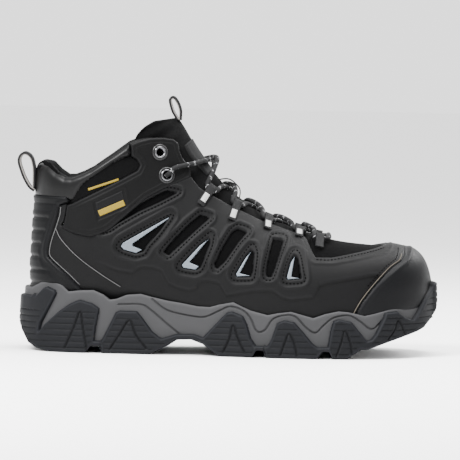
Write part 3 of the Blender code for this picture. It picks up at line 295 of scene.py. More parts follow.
HEEL_LOOP = [
    (10.1, 117), (6.4, 120), (2.7, 126.2), (0.4, 131.9), (-1.2, 137), (-1.3, 140.4), (0, 143),
    (1.9, 144.3), (3.7, 144.4), (6.3, 142.9), (8, 140.5), (9, 137.3), (9.8, 131.9), (9.9, 119),
]
TONGUE_LOOP = [
    (115.6, 171.3), (111.8, 177.9), (109.8, 184.8), (110.4, 186.9), (111.7, 187.6), (113.4, 186.8),
    (115.4, 183.9), (116.9, 180.4), (117.6, 176.8), (117.4, 171),
]


def metres(points):
    """Frame metres for millimetre points."""
    return (np.asarray(points, float) - ORIGIN) * 0.001


def lengths(line):
    """Length along a line at each of its points."""
    return np.append(0, np.cumsum(np.linalg.norm(np.diff(line, axis=0), axis=1)))


def unit(values):
    """Values held between 0 and 1."""
    return np.clip(values, 0, 1)


def rounded(values):
    """A quarter-circle rise from 0 to 1, held beyond."""
    return np.sqrt(1 - (1 - unit(values)) ** 2)


def spline(a, b, c, d, t):
    """The smooth curve through four values in a row, a share t of the way from the second to the third."""
    square, cube = 2 * a - 5 * b + 4 * c - d, 3 * b - a - 3 * c + d
    return 0.5 * (2 * b + (c - a) * t + square * t * t + cube * t ** 3)


def rib(row):
    """The rib values at a row, on a smooth curve through the table."""
    table = np.array(RIBS, float)
    mirror = table[1].copy()
    mirror[[0, 1, 2, 3]] = table[1][[2, 3, 0, 1]]
    mirror[[4, 5]] *= -1
    table = np.vstack([mirror, table, 2 * table[-1] - table[-2]])
    k = min(int(row), LAST - 1)
    t = row - k
    a, b, c, d = table[k:k + 4]
    return spline(a, b, c, d, t)


def rib_points(row, rings):
    """Points of one rib.  A ring is 0 on the instep line, and 1 or -1 on the sole or heel line."""
    foot_x, foot_z, top_x, top_z, outer, inner, shift, widest, low, high = rib(row)
    turn = np.linspace(0, math.pi, 121)
    up = np.cos(turn)
    power = 2 / np.where(up > 0, high, low)
    spread = np.sin(turn) ** power
    spread[-1] = 0
    lift = np.sign(up) * np.abs(up) ** power
    share = np.where(up > 0, widest + (1 - widest) * lift, widest * (1 + lift))
    rings = (np.asarray(rings, float) + 1) % 2 - 1
    found = np.zeros((len(rings), 3))
    for side, half in ((-1, outer), (1, inner)):
        line = np.stack([foot_x + (top_x - foot_x) * share, shift + side * half * spread,
                         foot_z + (top_z - foot_z) * share], 1)
        run = lengths(line)
        mine = rings * side >= 0
        for axis in range(3):
            found[mine, axis] = np.interp(np.abs(rings[mine]) * run[-1], run, line[:, axis])
    return found


def base_surface(rows, rings):
    """Points and outward directions of the base surface, as arrays (row, ring, xyz)."""
    rings = np.asarray(rings, float)
    points, normals = [], []
    for row in rows:
        near = min(max(row, 0.04), LAST - 0.04)
        along = rib_points(near + 0.04, rings) - rib_points(near - 0.04, rings)
        around = rib_points(near, rings + 0.012) - rib_points(near, rings - 0.012)
        normal = np.cross(around, along)
        points.append(rib_points(row, rings))
        normals.append(normal / np.linalg.norm(normal, axis=1)[:, None])
    normals = np.array(normals)
    if rows[0] == 0:
        normals[0] = (1, 0, 0)
    return np.array(points), normals


def smooth(points, steps=8, closed=False):
    """More points on a smooth curve through these."""
    table = np.array(points, float)
    if closed:
        table = np.vstack([table[-1:], table, table[:2]])
    else:
        table = np.vstack([2 * table[:1] - table[1:2], table, 2 * table[-1:] - table[-2:-1]])
    made = []
    for a, b, c, d in zip(table, table[1:], table[2:], table[3:]):
        for t in np.arange(steps) / steps:
            made.append(spline(a, b, c, d, t))
    return np.array(made if closed else made + [table[-2]])


def distance_to(x, z, line):
    """Distance to an open side-view line."""
    line = np.array(line, float)
    best = np.full(np.shape(x), 1e9)
    for (ax, az), (bx, bz) in zip(line, line[1:]):
        ex, ez = bx - ax, bz - az
        t = unit(((x - ax) * ex + (z - az) * ez) / (ex * ex + ez * ez))
        best = np.minimum(best, np.hypot(x - ax - t * ex, z - az - t * ez))
    return best


def height_at(x, line):
    """Height of a side-view line at x."""
    return np.interp(x, *np.array(line).T)


def inside(x, z, outline):
    """Distance to an outline's edge, positive inside it."""
    outline = np.array(outline, float)
    within = np.zeros(np.shape(x), bool)
    for (ax, az), (bx, bz) in zip(outline, np.roll(outline, -1, axis=0)):
        if az != bz:
            within ^= ((az > z) != (bz > z)) & (x < (bx - ax) * (z - az) / (bz - az) + ax)
    far = distance_to(x, z, np.vstack([outline, outline[:1]]))
    return np.where(within, far, -far)


def bump(distance, width):
    """A rounded ridge, 1 on its line and 0 beyond its width."""
    return unit(1 - (distance / width) ** 2) ** 2


def edge(distance, top, low=-1.4, run=1.5):
    """A height that rounds over to low at a piece's edge."""
    return low + (top - low) * rounded(distance / run)


# The shared grid.
FINE_ROWS = np.linspace(0.03, LAST, 24 * LAST)
FINE_RINGS = np.linspace(-1, 1, 361)
GRID, OUT = base_surface(FINE_ROWS, FINE_RINGS)
X, Z = GRID[:, :, 0], GRID[:, :, 2]
RING = np.broadcast_to(FINE_RINGS, X.shape)


def sample(table, rows, rings):
    """Values of a grid table between its points."""
    r = (np.asarray(rows, float) - FINE_ROWS[0]) / (FINE_ROWS[1] - FINE_ROWS[0])
    r = np.clip(r, 0, len(FINE_ROWS) - 1.001)
    g = ((np.asarray(rings, float) + 1) % 2) / (FINE_RINGS[1] - FINE_RINGS[0])
    i, j = r.astype(int), np.minimum(g.astype(int), len(FINE_RINGS) - 2)
    a, b = (r - i)[..., None], (g - j)[..., None]
    return ((1 - a) * ((1 - b) * table[i, j] + b * table[i, j + 1])
            + a * ((1 - b) * table[i + 1, j] + b * table[i + 1, j + 1]))


def lift(rows, rings, heights):
    """Points at heights over the base surface."""
    normal = sample(OUT, rows, rings)
    normal /= np.linalg.norm(normal, axis=-1)[..., None]
    return sample(GRID, rows, rings) + normal * np.asarray(heights, float)[..., None]


def raise_line(places, height):
    """Points at one height over a line of (row, ring) places."""
    return lift(*np.array(places, float).T, np.full(len(places), height))


def lift_one(row, ring, height):
    """The point at a height over one place."""
    return lift(np.array(row), np.array(ring), np.array(height))


def place_of(x, z, side):
    """The (row, ring) whose base surface point has this side view, on one side of the foot."""
    wide = (np.sign(RING) == side) & (np.abs(RING) < 0.93)
    far = np.where(wide, (X - x) ** 2 + (Z - z) ** 2, 1e9)
    i, j = np.unravel_index(far.argmin(), far.shape)
    row, ring = FINE_ROWS[i], FINE_RINGS[j]
    row_step, ring_step = 0.02, 0.004
    for _ in range(3):
        here, by_row, by_ring = (sample(GRID, row + a, ring + b)[[0, 2]]
                                 for a, b in ((0, 0), (row_step, 0), (0, ring_step)))
        turn = np.stack([(by_row - here) / row_step, (by_ring - here) / ring_step], 1)
        if abs(np.linalg.det(turn)) < 1:
            break
        move = np.clip(np.linalg.solve(turn, np.array([x, z]) - here), -0.05, 0.05)
        row, ring = row + move[0], ring + move[1]
    return float(row), float(ring)


# ---------------------------------------------------------------------------------------------------
# Finishes
# ---------------------------------------------------------------------------------------------------

def calculate(material, kind, a, b):
    """The output of a new math node; each input is a number or another node's output."""
    node = material.node_tree.nodes.new("ShaderNodeMath")
    node.operation = kind
    for socket, value in zip(node.inputs, (a, b)):
        if isinstance(value, (int, float)):
            socket.default_value = value
        else:
            material.node_tree.links.new(value, socket)
    return node.outputs[0]


def finish(name, colour, roughness, metallic=0.0, grain=(900, 0.15), weave=None, uneven=0.25, gloss=0.3):
    """A procedural finish: uneven colour, a grained or woven relief, and the mesh's tone attribute, which
    holds painted highlights and painted shade, and a darker colour for some whole pieces.
    """
    made = bpy.data.materials.new(name)
    made.use_nodes = True
    nodes, links = made.node_tree.nodes, made.node_tree.links
    shader = nodes["Principled BSDF"]
    place = nodes.new("ShaderNodeTexCoord").outputs["Object"]

    def math_node(kind, a, b):
        return calculate(made, kind, a, b)

    def noise(scale, detail=4):
        node = nodes.new("ShaderNodeTexNoise")
        node.inputs["Scale"].default_value = scale
        node.inputs["Detail"].default_value = detail
        links.new(place, node.inputs["Vector"])
        return node.outputs["Fac"]

    # The mesh's tone attribute scales the colour by (1 + tone): it holds painted highlights and painted
    # shade, and on some pieces a darker colour over the whole piece.
    tone_and_painted_light = nodes.new("ShaderNodeAttribute")
    tone_and_painted_light.attribute_name = "tone_and_painted_light"
    patchy = math_node("ADD", math_node("MULTIPLY", noise(55), uneven), 1 - uneven / 2)
    amount = math_node("MULTIPLY", patchy, math_node("ADD", tone_and_painted_light.outputs["Fac"], 1.0))
    scaled = nodes.new("ShaderNodeVectorMath")
    scaled.operation = "SCALE"
    scaled.inputs[0].default_value = colour
    links.new(amount, scaled.inputs["Scale"])
    links.new(scaled.outputs[0], shader.inputs["Base Color"])
    relief = noise(grain[0], 3)
    if weave:
        waves = []
        for axis in ("X", "Z"):
            node = nodes.new("ShaderNodeTexWave")
            node.bands_direction = axis
            node.inputs["Scale"].default_value = weave / WAVE_TURN
            node.inputs["Distortion"].default_value = 0.6
            links.new(place, node.inputs["Vector"])
            waves.append(node.outputs["Fac"])
        crossed = math_node("MULTIPLY", waves[0], waves[1])
        relief = math_node("ADD", crossed, math_node("MULTIPLY", relief, 0.3))
    node = nodes.new("ShaderNodeBump")
    node.inputs["Strength"].default_value = grain[1]
    node.inputs["Distance"].default_value = 0.0004
    links.new(relief, node.inputs["Height"])
    links.new(node.outputs["Normal"], shader.inputs["Normal"])
    rough = math_node("ADD", math_node("MULTIPLY", noise(220), 0.14), roughness - 0.07)
    links.new(rough, shader.inputs["Roughness"])
    shader.inputs["Metallic"].default_value = metallic
    shader.inputs["Specular IOR Level"].default_value = gloss
    return made


def lace_finish(name):
    """Black braid with short light flecks that wind round it; the mesh's UV holds (length in mm, turn)."""
    made = finish(name, (0.0045, 0.0045, 0.0048), 0.8, grain=(2500, 0.5), gloss=0.15)
    nodes, links = made.node_tree.nodes, made.node_tree.links
    code = nodes.new("ShaderNodeUVMap")
    split = nodes.new("ShaderNodeSeparateXYZ")
    links.new(code.outputs["UV"], split.inputs[0])

    def calc(kind, a, b=0):
        return calculate(made, kind, a, b)

    length, turn = split.outputs["X"], split.outputs["Y"]
    marks = []
    for way in (1.0, -1.0):
        wound = calc("FRACT", calc("ADD", calc("MULTIPLY", length, 0.2), calc("MULTIPLY", turn, way)))
        marks.append(calc("LESS_THAN", wound, 0.1))
    dash = calc("LESS_THAN", calc("FRACT", calc("MULTIPLY", length, 0.15)), 0.4)
    light = calc("MULTIPLY", calc("MAXIMUM", marks[0], marks[1]), dash)
    strand = calc("GREATER_THAN", calc("FRACT", calc("MULTIPLY", length, 0.9)), 0.35)
    light = calc("MULTIPLY", light, strand)
    mix = nodes.new("ShaderNodeMix")
    mix.data_type = "RGBA"
    links.new(light, mix.inputs["Factor"])
    shader = nodes["Principled BSDF"]
    links.new(shader.inputs["Base Color"].links[0].from_socket, mix.inputs["A"])
    mix.inputs["B"].default_value = (0.2, 0.2, 0.205, 1)
    links.new(mix.outputs["Result"], shader.inputs["Base Color"])
    return made


# Finishes: colour, roughness, and what else differs from the usual.
LOOKS = {
    "overlay_synthetic": ((0.002, 0.002, 0.00215), 0.56, dict(grain=(2200, 0.25), gloss=0.078)),
    "mesh_fabric": (
        (0.0012, 0.0012, 0.0013), 0.95, dict(grain=(1500, 0.9), weave=4200, uneven=0.5, gloss=0.04)),
    "collar_leather": ((0.0011, 0.0011, 0.0012), 0.4, dict(grain=(1500, 0.12), gloss=0.12)),
    "strip_webbing": ((0.0014, 0.0014, 0.0015), 0.85, dict(grain=(1500, 0.6), weave=5200, gloss=0.05)),
    "guard_rubber": ((0.0017, 0.0018, 0.0022), 0.5, dict(grain=(2600, 0.12), gloss=0.075)),
    "patch_rubber": ((0.002, 0.002, 0.0022), 0.6, dict(grain=(2400, 0.2), gloss=0.08)),
    "midsole_foam": ((0.0235, 0.0235, 0.0245), 0.62, dict(grain=(1400, 0.12), uneven=0.14, gloss=0.1)),
    "rubber": ((0.0036, 0.0038, 0.0046), 0.62, dict(grain=(1800, 0.25), gloss=0.08)),
    "reflective_silver": ((0.1, 0.116, 0.135), 0.36, dict(metallic=0.25, grain=(3000, 0.1), uneven=0.1)),
    "tongue_cloth": ((0.002, 0.002, 0.0021), 0.92, dict(grain=(1800, 0.8), weave=4600, gloss=0.06)),
    "tongue_label": ((0.0035, 0.0035, 0.0037), 0.75, dict(grain=(2400, 0.35), gloss=0.12)),
    "pull_webbing": ((0.004, 0.004, 0.0043), 0.75, dict(grain=(1600, 0.5), weave=6000, gloss=0.15)),
    "webbing_edge": ((0.16, 0.15, 0.14), 0.85, dict(grain=(2400, 0.4))),
    "loop_webbing": ((0.004, 0.004, 0.0043), 0.75, dict(grain=(1800, 0.5), weave=6000, gloss=0.15)),
    "tack_thread": ((0.3, 0.3, 0.295), 0.7, dict(grain=(3000, 0.6))),
    "stitch_thread": ((0.0007, 0.0007, 0.00075), 0.7, dict(grain=(3000, 0.4), gloss=0.02)),
    "seam_line": ((0.05, 0.042, 0.031), 0.8, dict(grain=(2400, 0.3))),
    "label_yellow": ((0.13, 0.088, 0.0), 0.6, dict(grain=(2400, 0.2))),
    "seam_dark": ((0.05, 0.05, 0.05), 0.8, dict(grain=(2400, 0.3))),
    "eyelet_nickel": ((0.1, 0.1, 0.105), 0.2, dict(metallic=1.0, grain=(900, 0.03), uneven=0.1)),
    "eyelet_rim": ((0.004, 0.004, 0.0042), 0.35, dict(grain=(1200, 0.1))),
    "aglet_plastic": ((0.008, 0.008, 0.008), 0.3, dict(grain=(900, 0.05))),
    "lining_fabric": ((0.003, 0.003, 0.0032), 0.95, dict(grain=(1500, 0.8), weave=3000, gloss=0.08)),
    "soft_foam": ((0.012, 0.012, 0.013), 0.95, dict(grain=(1600, 0.6), gloss=0.1)),
    "board": ((0.3, 0.22, 0.13), 0.9, dict(grain=(900, 0.4))),
    "toe_cap_steel": ((0.45, 0.46, 0.48), 0.35, dict(metallic=1.0, grain=(600, 0.1))),
    "gasket_rubber": ((0.05, 0.05, 0.05), 0.8, dict(grain=(900, 0.2))),
    "stiffener_plastic": ((0.25, 0.25, 0.23), 0.5, dict(grain=(900, 0.1))),
}


def make_finishes():
    made = {name: finish(name, colour, roughness, **more)
            for name, (colour, roughness, more) in LOOKS.items()}
    made["lace_cord"] = lace_finish("lace_cord")
    return made


# ---------------------------------------------------------------------------------------------------
# Making meshes
# ---------------------------------------------------------------------------------------------------

def piece(name, points, faces, looks, body=BOOT, nodes=(), slots=None, tone_and_painted_light=None, uv=None):
    """A smooth mesh from millimetre points that rides a body and stands for CAD nodes."""
    mesh = bpy.data.meshes.new(name)
    mesh.from_pydata(metres(points).tolist(), [], [[int(v) for v in face] for face in faces])
    made = bpy.data.objects.new(name, mesh)
    bpy.context.scene.collection.objects.link(made)
    looks = [looks] if isinstance(looks, str) else looks
    for look in looks:
        mesh.materials.append(FINISHES[look])
    if slots is not None:
        mesh.polygons.foreach_set("material_index", np.asarray(slots, np.int32))
    mesh.polygons.foreach_set("use_smooth", np.ones(len(mesh.polygons), bool))
    if tone_and_painted_light is not None:
        shades = mesh.attributes.new("tone_and_painted_light", "FLOAT", "POINT")
        shades.data.foreach_set("value", np.asarray(tone_and_painted_light, np.float32))
    if uv is not None:
        codes = mesh.uv_layers.new(name="UVMap")
        corner = np.zeros(len(mesh.loops), np.int32)
        mesh.loops.foreach_get("vertex_index", corner)
        codes.data.foreach_set("uv", np.asarray(uv, np.float32)[corner].ravel())
    turned = bmesh.new()
    turned.from_mesh(mesh)
    bmesh.ops.recalc_face_normals(turned, faces=turned.faces)
    turned.to_mesh(mesh)
    turned.free()
    if body:
        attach(made, body)
    if nodes:
        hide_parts(*nodes)
    return made


def grid_faces(rows, columns, closed=False):
    """Quads of a grid of points; closed joins the last column to the first."""
    starts = np.arange(rows - 1) * columns
    r, c = np.meshgrid(starts, np.arange(columns if closed else columns - 1), indexing="ij")
    d = (c + 1) % columns
    return np.stack([r + c, r + d, r + columns + d, r + columns + c], -1).reshape(-1, 4)


def kept(points, faces, keep, *tables):
    """The faces whose corners are all kept, with the points they use."""
    faces = faces[keep.ravel()[faces].all(axis=1)]
    used, index = np.unique(faces, return_inverse=True)
    return (points.reshape(-1, 3)[used], index.reshape(faces.shape), *[t.ravel()[used] for t in tables])


def doubled(shown, count):
    """Faces of a sheet, of its back, whose points come count later, and of the rim between them."""
    ends = np.concatenate([shown[:, [k, (k + 1) % 4]] for k in range(4)])
    rim = ends[~np.isin(ends[:, 0] * count + ends[:, 1], ends[:, 1] * count + ends[:, 0])]
    walls = np.stack([rim[:, 1], rim[:, 0], rim[:, 0] + count, rim[:, 1] + count], 1)
    return np.vstack([shown, shown[:, ::-1] + count, walls])


def layer(name, height, keep, look, nodes, tone_and_painted_light=None, backed=1.0):
    """A piece of the upper: the grid moved out by height where keep holds, with a back and a rim."""
    shade = np.zeros(X.shape) if tone_and_painted_light is None else tone_and_painted_light
    faces = grid_faces(*X.shape)
    if (keep[:, 0] & keep[:, -1]).any():
        last = X.shape[1] - 1
        faces = np.where(faces % X.shape[1] == last, faces - last, faces)
    top = GRID + OUT * height[:, :, None]
    under = GRID + OUT * (height - backed)[:, :, None]
    upper, shown, shade = kept(top, faces, keep, shade)
    lower = kept(under, faces, keep)[0]
    return piece(name, np.vstack([upper, lower]), doubled(shown, len(upper)), look, nodes=nodes,
                 tone_and_painted_light=np.append(shade, shade))


def tube(name, path, radius, look, body=BOOT, nodes=(), sides=14, flat=1.0, ends=True):
    """A round piece along a path, with UVs (length, turn)."""
    path = np.array(path, float)
    run = np.gradient(path, axis=0)
    run /= np.linalg.norm(run, axis=1)[:, None]
    side = np.cross(run[0], [0.3, 0.2, 1.0])
    sides_at = []
    for tangent in run:
        side = side - tangent * np.dot(side, tangent)
        side /= np.linalg.norm(side)
        sides_at.append(side)
    first, turns = np.array(sides_at), np.linspace(0, 2 * math.pi, sides + 1)
    second = np.cross(run, first)
    rings = (path[:, None] + radius * (np.cos(turns)[None, :, None] * first[:, None]
                                       + flat * np.sin(turns)[None, :, None] * second[:, None]))
    length = lengths(path)
    uv = np.stack(np.meshgrid(length, turns / (2 * math.pi), indexing="ij"), -1).reshape(-1, 2)
    points, faces = rings.reshape(-1, 3), grid_faces(len(path), sides + 1).tolist()
    if ends:
        faces += [list(range(sides))[::-1], [(len(path) - 1) * (sides + 1) + k for k in range(sides)]]
    return piece(name, points, faces, look, body=body, nodes=nodes, uv=uv)


def strap(name, path, across, width, thickness, looks, body=BOOT, nodes=()):
    """A woven band with soft edges along a path; its second finish is on the edges."""
    path = np.array(path, float)
    across = np.broadcast_to(np.asarray(across, float), path.shape)
    across = across / np.linalg.norm(across, axis=1)[:, None]
    run = np.gradient(path, axis=0)
    out = np.cross(run, across)
    out /= np.linalg.norm(out, axis=1)[:, None]
    half, deep = width / 2, thickness / 2
    section = [(-half, -0.5 * deep), (-half + 0.35, -deep), (half - 0.35, -deep), (half, -0.5 * deep),
               (half, 0.5 * deep), (half - 0.35, deep), (-half + 0.35, deep), (-half, 0.5 * deep)]
    rings = np.stack([path + a * across + b * out for a, b in section], 1)
    count = len(section)
    faces = grid_faces(len(path), count, closed=True).tolist()
    slots = [1 if k % count in INNER_FACES and len(looks) > 1 else 0 for k in range(len(faces))]
    faces += [list(range(count))[::-1], [(len(path) - 1) * count + k for k in range(count)]]
    return piece(name, rings.reshape(-1, 3), faces, looks, body=body, nodes=nodes, slots=slots + [0, 0])


def shell(name, rows, rings, top, bottom, look, nodes, trim=None):
    """A closed layer between two heights over part of the base surface."""
    r, g = np.meshgrid(np.linspace(*rows, 70), np.linspace(*rings, 70), indexing="ij")
    upper, lower = lift(r, g, np.full(r.shape, top)), lift(r, g, np.full(r.shape, bottom))
    keep = np.ones(r.shape, bool) if trim is None else trim(upper[:, :, 0], upper[:, :, 2])
    faces = grid_faces(*r.shape)
    a, shown = kept(upper, faces, keep)[:2]
    b = kept(lower, faces, keep)[0]
    return piece(name, np.vstack([a, b]), doubled(shown, len(a)), look, nodes=nodes)


def stitches(name, lines, look, height, long=1.7, pitch=2.7, wide=0.6):
    """Dashes of thread along surface lines, each line a list of (row, ring)."""
    points, faces = [], []
    for line in lines:
        where = raise_line(line, height)
        run = lengths(where)
        normal = sample(OUT, *np.array(line, float).T)
        for middle in np.arange(pitch / 2, run[-1], pitch):
            a, c = (np.array([np.interp(middle + s, run, where[:, k]) for k in range(3)])
                    for s in (-long / 2, long / 2))
            out = np.array([np.interp(middle, run, normal[:, k]) for k in range(3)])
            along = (c - a) / np.linalg.norm(c - a)
            across = np.cross(out, along)
            across *= wide / 2 / np.linalg.norm(across)
            first = len(points)
            for at, high in ((a, -0.25), (a + along * 0.35, 0.25), (c - along * 0.35, 0.25), (c, -0.25)):
                points += [at + out * high - across, at + out * high + across]
            faces += [[first + v for v in face] for face in THREAD_FACES]
    return piece(name, points, faces, look)


def offset_line(outline, distance, closed=True):
    """A side-view outline moved outwards, smoothed."""
    points = np.array(outline, float)
    after, before = np.roll(points, -1, axis=0), np.roll(points, 1, axis=0)
    area = np.sum(points[:, 0] * after[:, 1] - after[:, 0] * points[:, 1])
    out = np.zeros_like(points)
    for first, second in ((before, points), (points, after)):
        run = second - first
        run /= np.linalg.norm(run, axis=1)[:, None]
        out += np.sign(area) * np.stack([run[:, 1], -run[:, 0]], 1)
    length = np.maximum(np.linalg.norm(out, axis=1), 0.9)
    return smooth(points + out * (2 * distance / length ** 2)[:, None], 6, closed)


def on_side(line, side):
    """Surface places (row, ring) of a side-view line."""
    return [place_of(x, z, side) for x, z in line]


# ---------------------------------------------------------------------------------------------------
# Upper
# ---------------------------------------------------------------------------------------------------

def cage_outline():
    region = [(36.2, 109.4), (29.2, 107.1)] + [(x - 2.0, z) for x, z in HEEL_EDGE[3:]]
    region += [(58, 32), (100, 28), (185, 22), (243, 20)]
    region += [(x + 2.0, z) for x, z in reversed(TOE_EDGE[:-1])]
    region += [(216, 105)] + [(x - 0.3, z - 0.3) for x, z in reversed(THROAT)]
    return region + [(x, z + 2.0) for x, z in reversed(PANEL_LOW[1:])]


def panel_outline():
    front = COLLAR_TOP[-6:] + FACING
    return front + PANEL_LOW[::-1] + STRIP_LOW[::-1] + STRIP_END[::-1] + [(81.8, 144.6)]


def upper_layers():
    """The mesh underneath, and the moulded and sewn layers over it."""
    over = [(-20, 220)] + [(x, z - 0.4) for x, z in COLLAR_TOP] + [(140, 154), (200, 220)]
    below_collar = -inside(X, Z, over)
    throat = [(116, 154)] + FACING + THROAT + [(THROAT[-1][0], 120), (170, 140), (150, 200), (116, 200)]
    closed = -inside(X, Z, throat)
    from_eyelets = np.min([np.hypot(X - x, Z - z) for x, z in EYELET_PLACES], axis=0) - EYELET_HOLE
    front = [(QUARTER_END, 20), (QUARTER_END, 120), (130, 200), (-20, 200), (24, 124), (40, 99), (40, 20)]
    low = Z - height_at(X, UPPER_LOW)
    vamp = np.minimum(np.minimum(X - VAMP_SEAM, low), np.maximum(closed, X - THROAT[-1][0]))
    height = edge(vamp, 0.0, -1.2, 1.0)
    layer("vamp_mesh", height, (vamp > -0.5) & (np.abs(RING) < 0.84), "mesh_fabric", ["vamp_mesh"])
    for side, name in SIDES:
        mine = RING * side >= -0.001
        quarter = np.minimum(np.minimum(QUARTER_END - X, closed), np.minimum(below_collar, low))
        quarter = np.minimum(np.minimum(quarter, from_eyelets), inside(X, Z, front))
        label = f"quarter_mesh_{name}"
        layer(label, edge(quarter, 0.0, -1.2, 1.0), mine & (quarter > -0.4), "mesh_fabric", [label])
        cage(side, name, mine)
        panel = np.minimum(inside(X, Z, panel_outline()), below_collar + 0.6)
        rear = unit((X - 40) / 12)
        ridge = 0.35 * bump(panel - 4.2, 1.0) * rear
        height = edge(panel, PANEL_HEIGHT, 0.9, 1.3) + ridge - 0.25 * bump(panel - 2.6, 0.9)
        patch = inside(X, Z, PATCH) if side < 0 else np.full(X.shape, -99.0)
        height += 0.25 * bump(patch + 1.6, 1.1) - 0.3 * (patch > -0.6)
        label = f"ankle_panel_{name}"
        # The panel's tone is a darker colour over the whole panel plus a painted highlight along its
        # rounded edge.
        layer(label, height, mine & (panel > -0.5) & (from_eyelets > 0), "overlay_synthetic", [label],
              tone_and_painted_light=-0.5 + 0.9 * bump(panel - 0.9, 0.9))
        strip = inside(X, Z, STRIP_TOP + STRIP_END + STRIP_LOW)
        height = edge(strip + 1.0, STRIP_HEIGHT, -0.4, 1.0) + 0.2 * bump(strip - 1.2, 0.8)
        label = f"collar_strip_{name}"
        layer(label, height, mine & (strip > -0.9), "strip_webbing", [label])
    heel_guard()
    toe_guard()


def cage(side, name, mine):
    """One side of the moulded cage, with its raised rims, windows and stepped line."""
    region = inside(X, Z, cage_outline())
    region = np.minimum(region, -inside(X, Z, VAMP_WINDOW))
    relief, tone_and_painted_light = np.zeros(X.shape), np.zeros(X.shape)
    holes = region.copy()
    for outline in SLOTS + WINDOWS:
        away = -inside(X, Z, outline)
        holes = np.minimum(holes, away)
        wide = 4.6 if outline in SLOTS else 6.2
        relief += 0.75 * bump(away - wide, 1.7) - 0.25 * bump(away - wide / 2, wide / 2)
        # Painted highlight on the raised rim round each slot and window, and painted shade in the low band
        # between rim and hole.
        tone_and_painted_light += 0.55 * bump(away - wide, 1.5) - 0.1 * bump(away - wide / 2, wide / 2)
    raised = height_at(X, STEP_LINE)
    start = unit((X - 55) / 14)
    relief = np.clip(relief, -0.4, 0.8) + 1.1 * unit((Z - raised) / 1.5 + 0.5) * start - 1.0
    # Painted highlight just above the stepped line and painted shade just below it.
    step = 0.7 * bump(Z - raised - 1.3, 1.3) - 0.6 * bump(Z - raised + 0.9, 1.4)
    tone_and_painted_light = np.clip(tone_and_painted_light, -0.25, 0.7) + start * (X < 268) * step
    # Painted highlight along the rounded edges of the cage's outline, slots and windows.
    tone_and_painted_light += 0.8 * bump(holes - 0.8, 0.9)
    window = -inside(X, Z, VAMP_WINDOW)
    relief += 0.4 * bump(window - 5.0, 1.6) - 0.15 * bump(window - 2.4, 2.0)
    height = edge(holes, CAGE_HEIGHT, -0.7, 1.5) + relief * unit(holes / 1.5)
    layer(f"overlay_{name}", height, mine & (holes > -0.5) & (np.abs(RING) < SOLE_RING),
          "overlay_synthetic", [f"overlay_{name}"], tone_and_painted_light=tone_and_painted_light)
    for number, outline in enumerate(TRIMS):
        label = f"reflective_trim_{name}_{number + 1}"
        badge(label, outline, side, 0.4, 1.5, "reflective_silver", [label])


def badge(name, outline, side, low, top, look, nodes=()):
    """A small raised piece with the shape of a side-view outline."""
    places = np.array(on_side(outline, side))
    (r0, g0), (r1, g1) = places.min(axis=0) - (0.03, 0.004), places.max(axis=0) + (0.03, 0.004)
    r, g = np.meshgrid(np.linspace(r0, r1, 150), np.linspace(g0, g1, 150), indexing="ij")
    flat = sample(GRID, r, g)
    within = inside(flat[:, :, 0], flat[:, :, 2], outline)
    points = lift(r, g, edge(within, top, low, 0.6))
    shown, faces = kept(points, grid_faces(150, 150), within > -0.05)[:2]
    return piece(name, shown, faces, look, nodes=nodes)


def heel_guard():
    region = [(-20, 114.3)] + HEEL_EDGE[:-1] + [(58, 34), (-20, 34)]
    guard = inside(X, Z, region)
    plate = inside(X, Z, HEEL_PLATE)
    back = unit((np.abs(RING) - 0.55) / 0.1)
    ribs = np.abs(((Z - 40) / 9.6) % 1 - 0.5) * 2
    seam = distance_to(X, Z, HEEL_LINE)
    height = edge(guard, HEEL_HEIGHT, 1.2, 1.3) + 0.4 * bump(guard - 2.2, 1.6) - 0.5 * bump(seam, 1.1)
    height += 0.5 * unit(plate / 1.2) - 1.1 * back * unit(plate / 2) * bump(1 - ribs, 0.42)
    # Painted highlights along the raised plate's edge, the guard's rounded edge and beside the seam
    # groove; the -0.4 below is a darker colour over the whole guard.
    tone_and_painted_light = 0.4 * bump(plate, 1.0) + 0.3 * bump(guard - 1.0, 1.0) + 0.25 * bump(seam - 1.4, 0.9)
    layer("heel_guard", height, (guard > -0.5) & (np.abs(RING) > 0.3), "guard_rubber", ["heel_guard"],
          tone_and_painted_light=tone_and_painted_light - 0.4)


def toe_guard():
    region = TOE_EDGE[:-1] + [(244, 20), (330, 20), (330, 95)]
    guard = np.minimum(inside(X, Z, region), Z - 21)
    bead = inside(X, Z, TOE_BEAD + [(250, 20), (330, 20), (330, 95)])
    height = edge(guard, TOE_HEIGHT, 1.4, 1.2)
    height = height + 0.9 * unit((bead + 1.2) / 2.4) + 0.35 * bump(bead - 1.6, 1.5)
    # Painted highlight on the rise of the toe bead; the -0.1 is a darker colour over the whole guard.
    layer("toe_guard", height, (guard > -0.5) & (np.abs(RING) < SOLE_RING), "guard_rubber", ["toe_guard"],
          tone_and_painted_light=0.35 * bump(bead - 1.2, 1.2) - 0.1)
    line = smooth([(x - 1.2, z + 0.4) for x, z in TOE_EDGE[3:-1]], 10)
    for number, (side, _) in enumerate(SIDES):
        raised = raise_line(on_side(line, side), SEAM_HEIGHT)
        tube(f"toe_seam_{number + 1}", raised, 0.32, "seam_line", sides=6)


def heel_seams():
    """The thin light edges of the strip in front of the heel guard."""
    back = [(x + 1.0, z) for x, z in HEEL_LINE[2:]]
    for side, name in SIDES:
        for number, line in enumerate((back, HEEL_SEAM)):
            places = on_side(smooth(line, 8), side)
            raised = raise_line(places, SEAM_HEIGHT - 1.0 * (number == 0))
            tube(f"heel_seam_{name}_{number + 1}", raised, 0.3, "seam_dark", sides=6)


